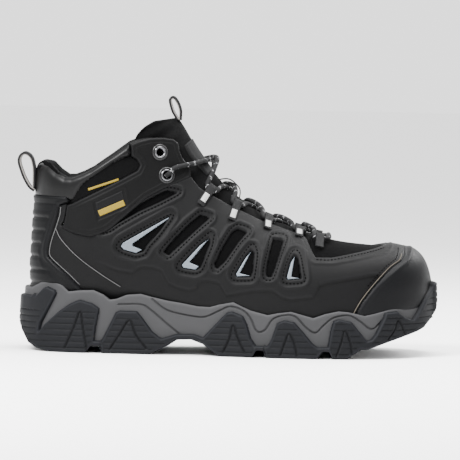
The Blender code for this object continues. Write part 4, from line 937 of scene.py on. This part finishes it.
def collar_rows(rings):
    """The row at which each ring meets the collar's top line."""
    tops = []
    for ring in rings:
        column = sample(GRID, FINE_ROWS, np.full(len(FINE_ROWS), ring))
        above = column[:, 2] - height_at(column[:, 0], COLLAR_TOP + [(200, 154)])
        low = np.nonzero((above < 0) & (FINE_ROWS > 8))[0]
        k = low[-1]
        if k + 1 < len(FINE_ROWS):
            step = FINE_ROWS[k + 1] - FINE_ROWS[k]
            tops.append(FINE_ROWS[k] + step * above[k] / (above[k] - above[k + 1]))
        else:
            tops.append(FINE_ROWS[-1])
        if ring > 1:
            tops[-1] -= 0.1 * bump(sample(GRID, tops[-1], ring)[0] - 20, 15)
    return np.array(tops)


def collar():
    """The padded leather collar, rolled over the top line, and the padded lining inside it."""
    rings = np.linspace(0.33, 1.67, 260)
    tops = collar_rows(rings)
    # Pairs: how far down from the top line, and height over the base surface.
    down = [(40, 1.0), (34, 1.4), (27, 1.9), (20, 2.5), (14, 2.9), (9, 2.9), (5, 2.4), (2.4, 1.3),
            (0.9, 0.0), (0.2, -1.6)]
    drops, heights = smooth(down, 4).T
    r = tops[:, None] - drops[None, :] / COLLAR_ROW
    g = np.broadcast_to(rings[:, None], r.shape)
    points = lift(r, g, np.broadcast_to(heights, r.shape))
    x, z = points[:, :, 0], points[:, :, 2]
    region = [(a, b + 6.0) for a, b in COLLAR_TOP if a < 80.5] + [(80.8, 159.3)]
    region += [(a - 0.3, b + 0.5) for a, b in reversed(STRIP_TOP)] + [(39, 112), (-20, 112)]
    near = inside(x, z, region)
    points -= sample(OUT, r, g) * (1.6 * (1 - np.sqrt(unit(near / 1.6))))[:, :, None]
    shown, faces = kept(points, grid_faces(*r.shape), near > -0.8)[:2]
    made = piece("collar_leather", shown, faces, "collar_leather", nodes=["collar_leather"])
    rings = np.linspace(0.2, 1.8, 320)
    tops = collar_rows(rings)
    over = [(0.3, -0.9), (-0.4, -2.2), (-0.2, -4.0), (1.2, -6.0), (4, -7.6), (9, -8.6), (15, -8.4),
            (22, -7.6), (30, -6.4)]
    drops, heights = smooth(over, 4).T
    lumps = 0.8 * np.sin(rings * 44)[:, None] * unit((drops[None, :] - 1) / 6) * (drops[None, :] < 26)
    r = tops[:, None] - drops[None, :] / COLLAR_ROW
    points = lift(r, np.broadcast_to(rings[:, None], r.shape), heights[None, :] + lumps)
    piece("collar_foam", points.reshape(-1, 3), grid_faces(*r.shape), "lining_fabric",
          nodes=["collar_foam"])
    share = np.linspace(0, 1, 90)
    r = 0.5 + (tops[:, None] - 1.1 - 0.5) * share[None, :]
    points = lift(r, np.broadcast_to(rings[:, None], r.shape), np.full(r.shape, LINING_HEIGHT))
    piece("lining", points.reshape(-1, 3), grid_faces(*r.shape), "lining_fabric", nodes=["lining"])


def hidden_pieces():
    """The pieces inside the boot that give it its shape and guard the foot."""
    for name, rows, rings, top, bottom, look, trim in (
            ("steel_toe_cap", (0.04, 4.5), (-0.667, 0.667), -1.9, -3.9, "toe_cap_steel", None),
            ("toe_cap_gasket", (4.56, 4.8), (-0.58, 0.58), -2.15, -3.75, "gasket_rubber", None),
            ("metatarsal_guard", (7, 9), (-0.167, 0.167), -6.0, -8.2, "stiffener_plastic", None),
            ("insole_board", (1.5, 11.4), (0.78, 1.22), -1.9, -3.4, "board", lambda x, z: z < 36),
            ("footbed", (1.5, 11.2), (0.76, 1.24), -6.2, -10, "soft_foam", lambda x, z: z < 46),
            ("heel_counter", (10.5, 15), (0.55, 1.45), -1.9, -3.8, "stiffener_plastic",
             lambda x, z: (z > 40) & (x < 60))):
        shell(name, rows, rings, top, bottom, look, [name], trim)


def ankle_patch():
    patch = inside(X, Z, PATCH)
    height = edge(patch, PATCH_HEIGHT, 1.4, 1.2) + 0.3 * bump(patch - 1.4, 0.9)
    # Painted highlight along the patch's raised rim.
    layer("ankle_patch", height, (RING < 0) & (patch > -0.3), "patch_rubber", ["ankle_patch"],
          tone_and_painted_light=0.6 * bump(patch - 1.2, 0.7))


def marks():
    """Plain coloured bars where labels are."""
    patch_bar = [(60.2, 100.2), (78.4, 108.4), (76.6, 112.4), (58.4, 104.2)]
    strip_bar = [(51.4, 118.8), (73.6, 126.6), (73, 128.3), (50.8, 120.5)]
    badge("ankle_patch_mark", patch_bar, -1, 2.8, 3.4, "label_yellow")
    badge("strip_mark", strip_bar, -1, 1.0, 1.6, "label_yellow")


def thread():
    """Rows of stitches round the windows, slots, panels and guards."""
    lines = []
    for side in (-1, 1):
        for outline, away in [(o, 2.6) for o in WINDOWS] + [(o, 2.2) for o in SLOTS]:
            line = offset_line(outline, away)
            lines.append(on_side(np.vstack([line, line[:1]]), side))
        for part, dx, dz in ((PANEL_LOW[7:-1], 0.3, 2.3), (COLLAR_TOP[-4:] + FRONT_SEAM, 0, -3),
                             (VAMP_WINDOW[2:7], 0, -2.4), (TOE_EDGE[2:8], -4, 0.8)):
            lines.append(on_side(smooth([(x + dx, z + dz) for x, z in part], 6), side))
    stitches("window_stitching", lines, "stitch_thread", THREAD_HEIGHT)


# ---------------------------------------------------------------------------------------------------
# Sole
# ---------------------------------------------------------------------------------------------------

def plan_line(count):
    """Evenly spaced points of the sole's plan outline, with outward directions."""
    outer = [(x, -half) for x, half, _ in SOLE_PLAN]
    inner = [(x, half) for x, _, half in SOLE_PLAN[-2:0:-1]]
    line = smooth(outer[:-1] + [(308, -6), (308, 6)] + inner, 10, closed=True)
    line = np.vstack([line, line[:1]])
    run = lengths(line)
    at = np.linspace(0, run[-1], count + 1)[:-1]
    line = np.stack([np.interp(at, run, line[:, k]) for k in (0, 1)], 1)
    along = np.roll(line, -2, axis=0) - np.roll(line, 2, axis=0)
    along /= np.linalg.norm(along, axis=1)[:, None]
    return line, np.stack([along[:, 1], -along[:, 0]], 1)


def wall(line, out, heights, offsets):
    """Points of a wall round the plan outline, held between the heel's and the toe's end profiles."""
    points = np.empty(heights.shape + (3,))
    points[:, :, :2] = line[:, None] + out[:, None] * offsets[:, :, None]
    points[:, :, 2] = heights
    heel = [(z, x) for x, z in GROUND_LINE[-6:-1]] + [(30, -10)]
    front = np.minimum(points[:, :, 0], np.maximum(height_at(heights, NOSE), 240))
    points[:, :, 0] = np.maximum(front, height_at(heights, heel))
    return points


def lug_relief(x, z, pods):
    """Grooves on the side lugs."""
    cut = np.zeros(x.shape)
    flank = np.ones(x.shape)
    for vee in LUG_VEES:
        away = distance_to(x, z, smooth(vee, 5))
        cut = np.maximum(cut, 1.3 * bump(away, 1.0))
        flank = np.minimum(flank, unit((away - 0.8) / 0.5))
    sipes = np.abs(((z - 1.2) / 4.4) % 1 - 0.5) * 4.4
    cross = 0.75 * bump(sipes, 0.65) * flank * unit((pods - 1.8) / 0.6) * (z < 30 + 25 * (x > 292))
    return np.maximum(cut, cross)


def sole():
    foam_line, foam_out = plan_line(WALL_COLUMNS)
    line, out = np.vstack([foam_line, foam_line[:1]]), np.vstack([foam_out, foam_out[:1]])
    plan_x = line[:, 0]
    ground = height_at(plan_x, GROUND_HEIGHTS)
    share = np.linspace(0, 1, WALL_ROWS)
    z = ground[:, None] + (WALL_TOP - ground[:, None]) * share[None, :]
    offsets = 4.5 - 3 * (z + 2) / 62
    points = wall(line, out, z, offsets)
    pods = inside(points[:, :, 0] + 3 * (plan_x < HEEL_END)[:, None], z, POD_TOPS + GROUND_LINE)
    lip = np.minimum(points[:, :, 0] - 300.6 - (z - 33) * 0.36, 53.4 - z) * (z > 30)
    at_toe = (plan_x > TOE_START)[:, None] & (z > 30)
    pods = np.where(at_toe, np.maximum(pods, np.minimum(lip, 3.0)), pods)
    depth = LUG_DEPTH * (1 - rounded((pods + 0.2) / 1.4))
    above_ground = unit((z - ground[:, None]) / 1.2)
    depth = np.where((z - ground[:, None] < 1.6) & (pods > -1.5), 0.8 * (1 - above_ground), depth)
    cut = lug_relief(points[:, :, 0], z, pods)
    points = wall(line, out, z, offsets - depth - cut)
    # Painted shade in the lugs' grooves and sipes, and a painted highlight just inside the lugs' edges.
    tone_and_painted_light = np.clip(-0.6 * cut, -0.6, 0) + 0.7 * bump(pods - 0.8, 0.9)
    keep = (pods > -1.4) | (z < ground[:, None] + 8.5)
    shown, faces, tone_and_painted_light = kept(points, grid_faces(*z.shape), keep, tone_and_painted_light)
    piece("outsole", shown, faces, "rubber", nodes=["outsole"], tone_and_painted_light=tone_and_painted_light)
    tread()
    midsole(foam_line, foam_out)


def tread():
    """The ground side, with two grooves along it and zigzags across."""
    x = np.linspace(1.5, 308, 420)
    across = np.linspace(-1, 1, 150)
    at, *halves = np.array(SOLE_PLAN).T
    outer, inner = (np.interp(x, at, half)[:, None] + 3.6 for half in halves)
    y = np.where(across[None, :] < 0, across[None, :] * outer, across[None, :] * inner)
    low = height_at(x, GROUND_HEIGHTS)
    z = np.repeat(low[:, None], len(across), 1)
    z += 4.2 * unit((1.9 - np.abs(np.abs(y) - 15)) / 0.5) * ((x < 104) | (x > 140))[:, None]
    zig = np.abs((x[:, None] + 6 * np.cos(y / 9)) % 13 - 6.5)
    z += 2.2 * unit((1.3 - zig) / 0.5) * (np.abs(y) > 17)
    z = np.minimum(z, low[:, None] + 4.2) + 0.02
    points = np.stack([np.repeat(x[:, None], len(across), 1), y, z], -1)
    piece("outsole_tread", points.reshape(-1, 3), grid_faces(*y.shape), "rubber", nodes=["outsole"])


def midsole(line, out):
    """The foam wall: a lip along its top, and grooves that follow the lugs."""
    plan_x = line[:, 0]
    top = height_at(plan_x, MIDSOLE_TOP)
    low = height_at(plan_x, TREAD_TOP)
    share = np.linspace(0, 1, 70)
    z = low[:, None] + (top - low)[:, None] * share[None, :]
    offsets = 0.9 - 2 * (z + 2) / 62
    x = line[:, 0][:, None] + out[:, 0][:, None] * offsets
    groove = np.full(z.shape, 99.0)
    for path in MIDSOLE_LINES:
        groove = np.minimum(groove, distance_to(x, z, smooth(path, 5)))
    from_top = top[:, None] - z
    offsets = offsets - 1.1 * bump(groove, 0.9) + 0.7 * rounded(from_top / 1.8) - 0.7
    # Painted highlight on the lip along the top, painted shade in the grooves, and painted shade growing
    # towards the bottom.
    tone_and_painted_light = 0.4 * unit(1 - from_top / 2.6) - 0.55 * bump(groove, 1.1) - 0.25 * unit((20 - z) / 20)
    points = wall(line, out, z, offsets)
    ledge = np.array([[-3.5, -9.0]]).repeat(len(line), 0)
    inward = wall(line, out, np.repeat((top - 0.3)[:, None], 2, 1), ledge)
    points = np.concatenate([points, inward], 1)
    # Painted highlight on the ledge's upward face.
    tone_and_painted_light = np.concatenate([tone_and_painted_light, np.full((len(line), 2), 0.3)], 1)
    count = points.shape[1]
    faces = grid_faces(count, len(line), closed=True)
    points, tone_and_painted_light = points.transpose(1, 0, 2).reshape(-1, 3), tone_and_painted_light.T.ravel()
    piece("midsole", points, faces, "midsole_foam", nodes=["midsole", "shank"], tone_and_painted_light=tone_and_painted_light)


# ---------------------------------------------------------------------------------------------------
# Tongue, pulls and lacing
# ---------------------------------------------------------------------------------------------------

def tongue():
    """The padded tongue, one cloth from the vamp to its folding top."""
    share = np.linspace(0, 1, 230)
    grow = np.sqrt(1 - unit((share - 0.965) / 0.036) ** 2)
    turns = np.linspace(0, 2 * math.pi, 97)[:-1]
    c, s = np.cos(turns), np.sin(turns)
    width = np.interp(share, [0, 0.12, 0.5, 0.66, 0.85, 1], [0.17, 0.2, 0.2, 0.23, 0.33, 0.33])
    ring = width[:, None] * np.sign(c) * np.abs(c) ** 0.8
    tops = np.interp(np.abs(ring), [0, 0.05, 0.1, 0.2, 0.25, 0.3, 0.34],
                     [15.2, 15.35, 15.6, 16.1, 15.95, 15.6, 15.0])
    rows = 5.75 + (tops - 5.75) * share[:, None]
    under = unit((sample(GRID, rows, 0 * rows)[:, :, 0] - 195) / 12)
    pad = unit((rows - 12.6) / 1.2)
    raised = unit((10.2 - rows) / 1.5) * unit(1.7 - np.abs(ring) / 0.1)
    wings = pad * unit((np.abs(ring) - 0.16) / 0.12)
    crown = -1.3 + 2.2 * raised - 0.7 * np.abs(ring) / 0.25 - 0.6 * under - 5.5 * wings
    lumps = 0.5 * np.sin(rows * 5.5) * pad * (np.abs(ring) > 0.1)
    half = (1.7 + 0.5 * pad) * (0.3 + 0.7 * grow[:, None])
    height = crown - half + half * np.sign(s) * np.abs(s) ** 0.7 + lumps
    points = lift(rows, ring, height)
    count = len(turns)
    faces = grid_faces(len(rows), count, closed=True).tolist()
    faces += [list(range(count))[::-1], [(len(rows) - 1) * count + k for k in range(count)]]
    made = piece("tongue", points.reshape(-1, 3), faces, "tongue_cloth", body=None,
                 nodes=["tongue", "tongue_top"])
    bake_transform(made)
    r, g = np.meshgrid(np.linspace(10.2, 12.9, 60), np.linspace(-0.085, 0.085, 40), indexing="ij")
    rim = np.minimum(np.minimum(r - 10.2, 12.9 - r) * 17, (0.085 - np.abs(g)) * 150)
    height = edge(rim, -0.35, -1.9, 1.0) + 0.25 * bump(rim - 2.0, 0.8)
    piece("tongue_patch", lift(r, g, height).reshape(-1, 3), grid_faces(*r.shape), "tongue_label",
          nodes=["tongue_patch"])
    keeper = np.array(KEEPER_PATH)
    path = smooth(lift(keeper[:, 0], 0 * keeper[:, 0], keeper[:, 1] * 0.93), 6)
    strap("lace_keeper", path, (0, 1, 0), 5.0, 0.9, ["pull_webbing"], nodes=["lace_keeper"])


def pulls():
    for name, outline, body in (("heel_pull_loop", HEEL_LOOP, "heel_pull_loop"),
                                ("tongue_pull_loop", TONGUE_LOOP, "tongue_pull_loop")):
        path = smooth([(x, 0, z) for x, z in outline], 8)
        strap(name, path, (0, 1, 0), 15.4, 2.3, ["pull_webbing", "webbing_edge"], body=body, nodes=[name])


def frame_at(row, ring):
    """A surface point with unit directions: towards the sole, towards the toe, and out."""
    point, out = sample(GRID, row, ring), sample(OUT, row, ring)
    out = out / np.linalg.norm(out)
    away = sample(GRID, row, ring + math.copysign(0.01, ring)) - point
    away -= out * np.dot(away, out)
    away /= np.linalg.norm(away)
    along = np.cross(out, away)
    return point, away, along if along[0] > 0 else -along, out


def loop_centre(number, side):
    row, ring = LOOP_PLACES[number]
    point, away, along, out = frame_at(row, side * ring)
    return point + out * LOOP_HEIGHTS[number], away, along, out


def lace_loops():
    """Webbing loops sewn to the cage, the upper four with a light bar tack."""
    for side, name in SIDES:
        for number, (row, ring) in enumerate(LOOP_PLACES):
            centre, away, along, out = loop_centre(number, side)
            eye = [centre + LOOP_RADIUS * (away * math.cos(t) + out * math.sin(t))
                   for t in np.radians(range(70, 281, 15))]
            tail = [lift_one(row, side * (ring + step), 3.3 + 0.35 * (number < 4))
                    for step in np.linspace(TAILS[number], 0.07, 5)]
            label = f"lace_loop_{name}_{number + 1}"
            strap(label, smooth(tail + eye, 3), along, 6.0, 1.0, ["loop_webbing"], nodes=[label])
            if number < 4:
                bar_tack(f"bar_tack_{name}_{number + 1}", row, side, ring + TACKS[number] + 0.014)


def bar_tack(name, row, side, ring):
    """A block of close light stitches on a loop's tail."""
    point, away, along, out = frame_at(row, side * ring)
    centre = point + out * 4.35
    points, faces = [], []
    for k in range(9):
        middle = centre + away * (k - 4) * 0.82
        first = len(points)
        for a, b in ((-2.1, -0.25), (-1.9, 0.3), (1.9, 0.3), (2.1, -0.25)):
            corner = middle + along * a + out * b
            points += [corner - away * 0.36, corner + away * 0.36]
        faces += [[first + v for v in face] for face in THREAD_FACES]
    piece(name, points, faces, "tack_thread")


def eyelets():
    """A polished ring in a dark rim."""
    profile = smooth([(2.2, -2.0), (2.25, 1.6), (2.6, 3.0), (3.4, 3.9), (4.2, 3.7), (4.6, 3.1)], 4)
    rim = smooth([(4.5, 3.0), (4.9, 3.5), (5.6, 3.5), (6.1, 3.0), (6.2, 2.2)], 4)
    turns = np.linspace(0, 2 * math.pi, 49)[:-1]
    for side, name in SIDES:
        for number, place in enumerate(EYELET_PLACES):
            point, away, along, out = frame_at(*place_of(*place, side))
            rings = [point + out * h + r * (away * math.cos(t) + along * math.sin(t))
                     for r, h in np.vstack([profile, rim]) for t in turns]
            count, first = len(profile) + len(rim), len(profile) - 1
            faces = grid_faces(count, 48, closed=True)
            label = f"eyelet_{name}_{number + 1}"
            slots = [1 if k // 48 > first else 0 for k in range(len(faces))]
            piece(label, rings, faces, ["eyelet_nickel", "eyelet_rim"], nodes=[label], slots=slots)


def lace_half(side):
    """One half of the lace, from its end inside the boot to its toe loop."""
    route = [lift_one(row, side * ring, depth) for row, ring, depth in TAIL_PLACES]
    row_a, ring_a = place_of(*EYELET_PLACES[1], side)
    point, away, _, out = frame_at(row_a, ring_a)
    through = ((0, -7.0), (0, -2), (0, 3.0), (2.4, 5.6), (8.0, 5.6))
    route += [point + out * high - away * inwards for inwards, high in through]
    for number, heights in enumerate(CROSSINGS):
        middle, beside = heights[:2] if side < 0 else heights[2:]
        row_b, ring_b = LOOP_PLACES[number]
        ring_b *= -side
        for ring, height in ((0.5 * ring_a, beside), (0.0, middle), (0.5 * ring_b, beside)):
            share = (ring - ring_a) / (ring_b - ring_a)
            route.append(lift_one(row_a + (row_b - row_a) * share, ring, height))
        side = -side
        centre, away, along, out = loop_centre(number, side)
        route += [centre - along * 3.6, centre + along * 3.6]
        row_a, ring_a = row_b, ring_b
    return route, side


def lace():
    """The round lace, laced from its middle over the vamp, with both ends inside the boot."""
    (first, side), (second, _) = lace_half(-1), lace_half(1)
    row, ring = LOOP_PLACES[-1]
    bridge = [lift_one(row - BRIDGE_ROW, side * ring * t, 3.0) for t in (0.7, 0.0, -0.7)]
    path = smooth(first + bridge + second[::-1], 10)
    run = lengths(path)
    count = int(run[-1])
    path = np.stack([np.interp(np.linspace(0, run[-1], count), run, path[:, k]) for k in range(3)], 1)
    made = tube("lace", path, LACE_RADIUS, "lace_cord", nodes=["lace"], sides=16)
    for name, end, inner in (("aglet_lateral", path[0], path[4]), ("aglet_medial", path[-1], path[-5])):
        way = (end - inner) / np.linalg.norm(end - inner)
        tip = [end + way * t for t in (0.3, 0.8, 17.5, 18.2)]
        tube(name, tip, 1.85, "aglet_plastic", nodes=[name])


# ---------------------------------------------------------------------------------------------------
# Studio
# ---------------------------------------------------------------------------------------------------

def area_light(name, place, target, size, power):
    light = bpy.data.lights.new(name, "AREA")
    light.size, light.energy = size, power
    made = bpy.data.objects.new(name, light)
    made.location = place
    made.rotation_euler = (Vector(target) - Vector(place)).to_track_quat("-Z", "Y").to_euler()
    bpy.context.scene.collection.objects.link(made)


def studio():
    """A pale floor, soft light, and the camera: level with the boot, from its outer side."""
    mesh = bpy.data.meshes.new("floor")
    corners = [(x, y, -0.0003) for x, y in ((-8, -8), (8, -8), (8, 8), (-8, 8))]
    mesh.from_pydata(corners, [], [[0, 1, 2, 3]])
    floor = bpy.data.objects.new("floor", mesh)
    bpy.context.scene.collection.objects.link(floor)
    mesh.materials.append(finish("floor_white", (0.93, 0.93, 0.93), 0.8, grain=(40, 0.0), uneven=0.01))
    world = bpy.data.worlds.new("studio")
    world.use_nodes = True
    world.node_tree.nodes["Background"].inputs["Color"].default_value = (1, 1, 1, 1)
    world.node_tree.nodes["Background"].inputs["Strength"].default_value = 2.0
    bpy.context.scene.world = world
    middle = (0.12, 0, 0.08)
    area_light("key", (-0.35, -0.6, 0.85), middle, 0.4, 36)
    area_light("top", (0.3, -0.05, 1.0), middle, 0.6, 26)
    area_light("rim", (0.7, 0.5, 0.6), middle, 0.3, 8)
    camera = bpy.data.cameras.new("camera")
    wide, away, rise, roll = 0.3418, 3.0, math.radians(3.0), 1.03
    camera.sensor_width = 36
    camera.lens = 36 * away / wide
    camera.clip_end = 50
    made = bpy.data.objects.new("camera", camera)
    target = Vector((0.1217, 0, 0.0899))
    made.location = target + Vector((0, -away * math.cos(rise), away * math.sin(rise)))
    turn = (target - made.location).to_track_quat("-Z", "Y").to_matrix().to_4x4()
    made.rotation_euler = (turn @ Matrix.Rotation(math.radians(roll), 4, "Z")).to_euler()
    bpy.context.scene.collection.objects.link(made)
    bpy.context.scene.camera = made


FINISHES = make_finishes()
upper_layers()
ankle_patch()
marks()
collar()
hidden_pieces()
thread()
heel_seams()
sole()
tongue()
pulls()
lace_loops()
eyelets()
lace()
studio()
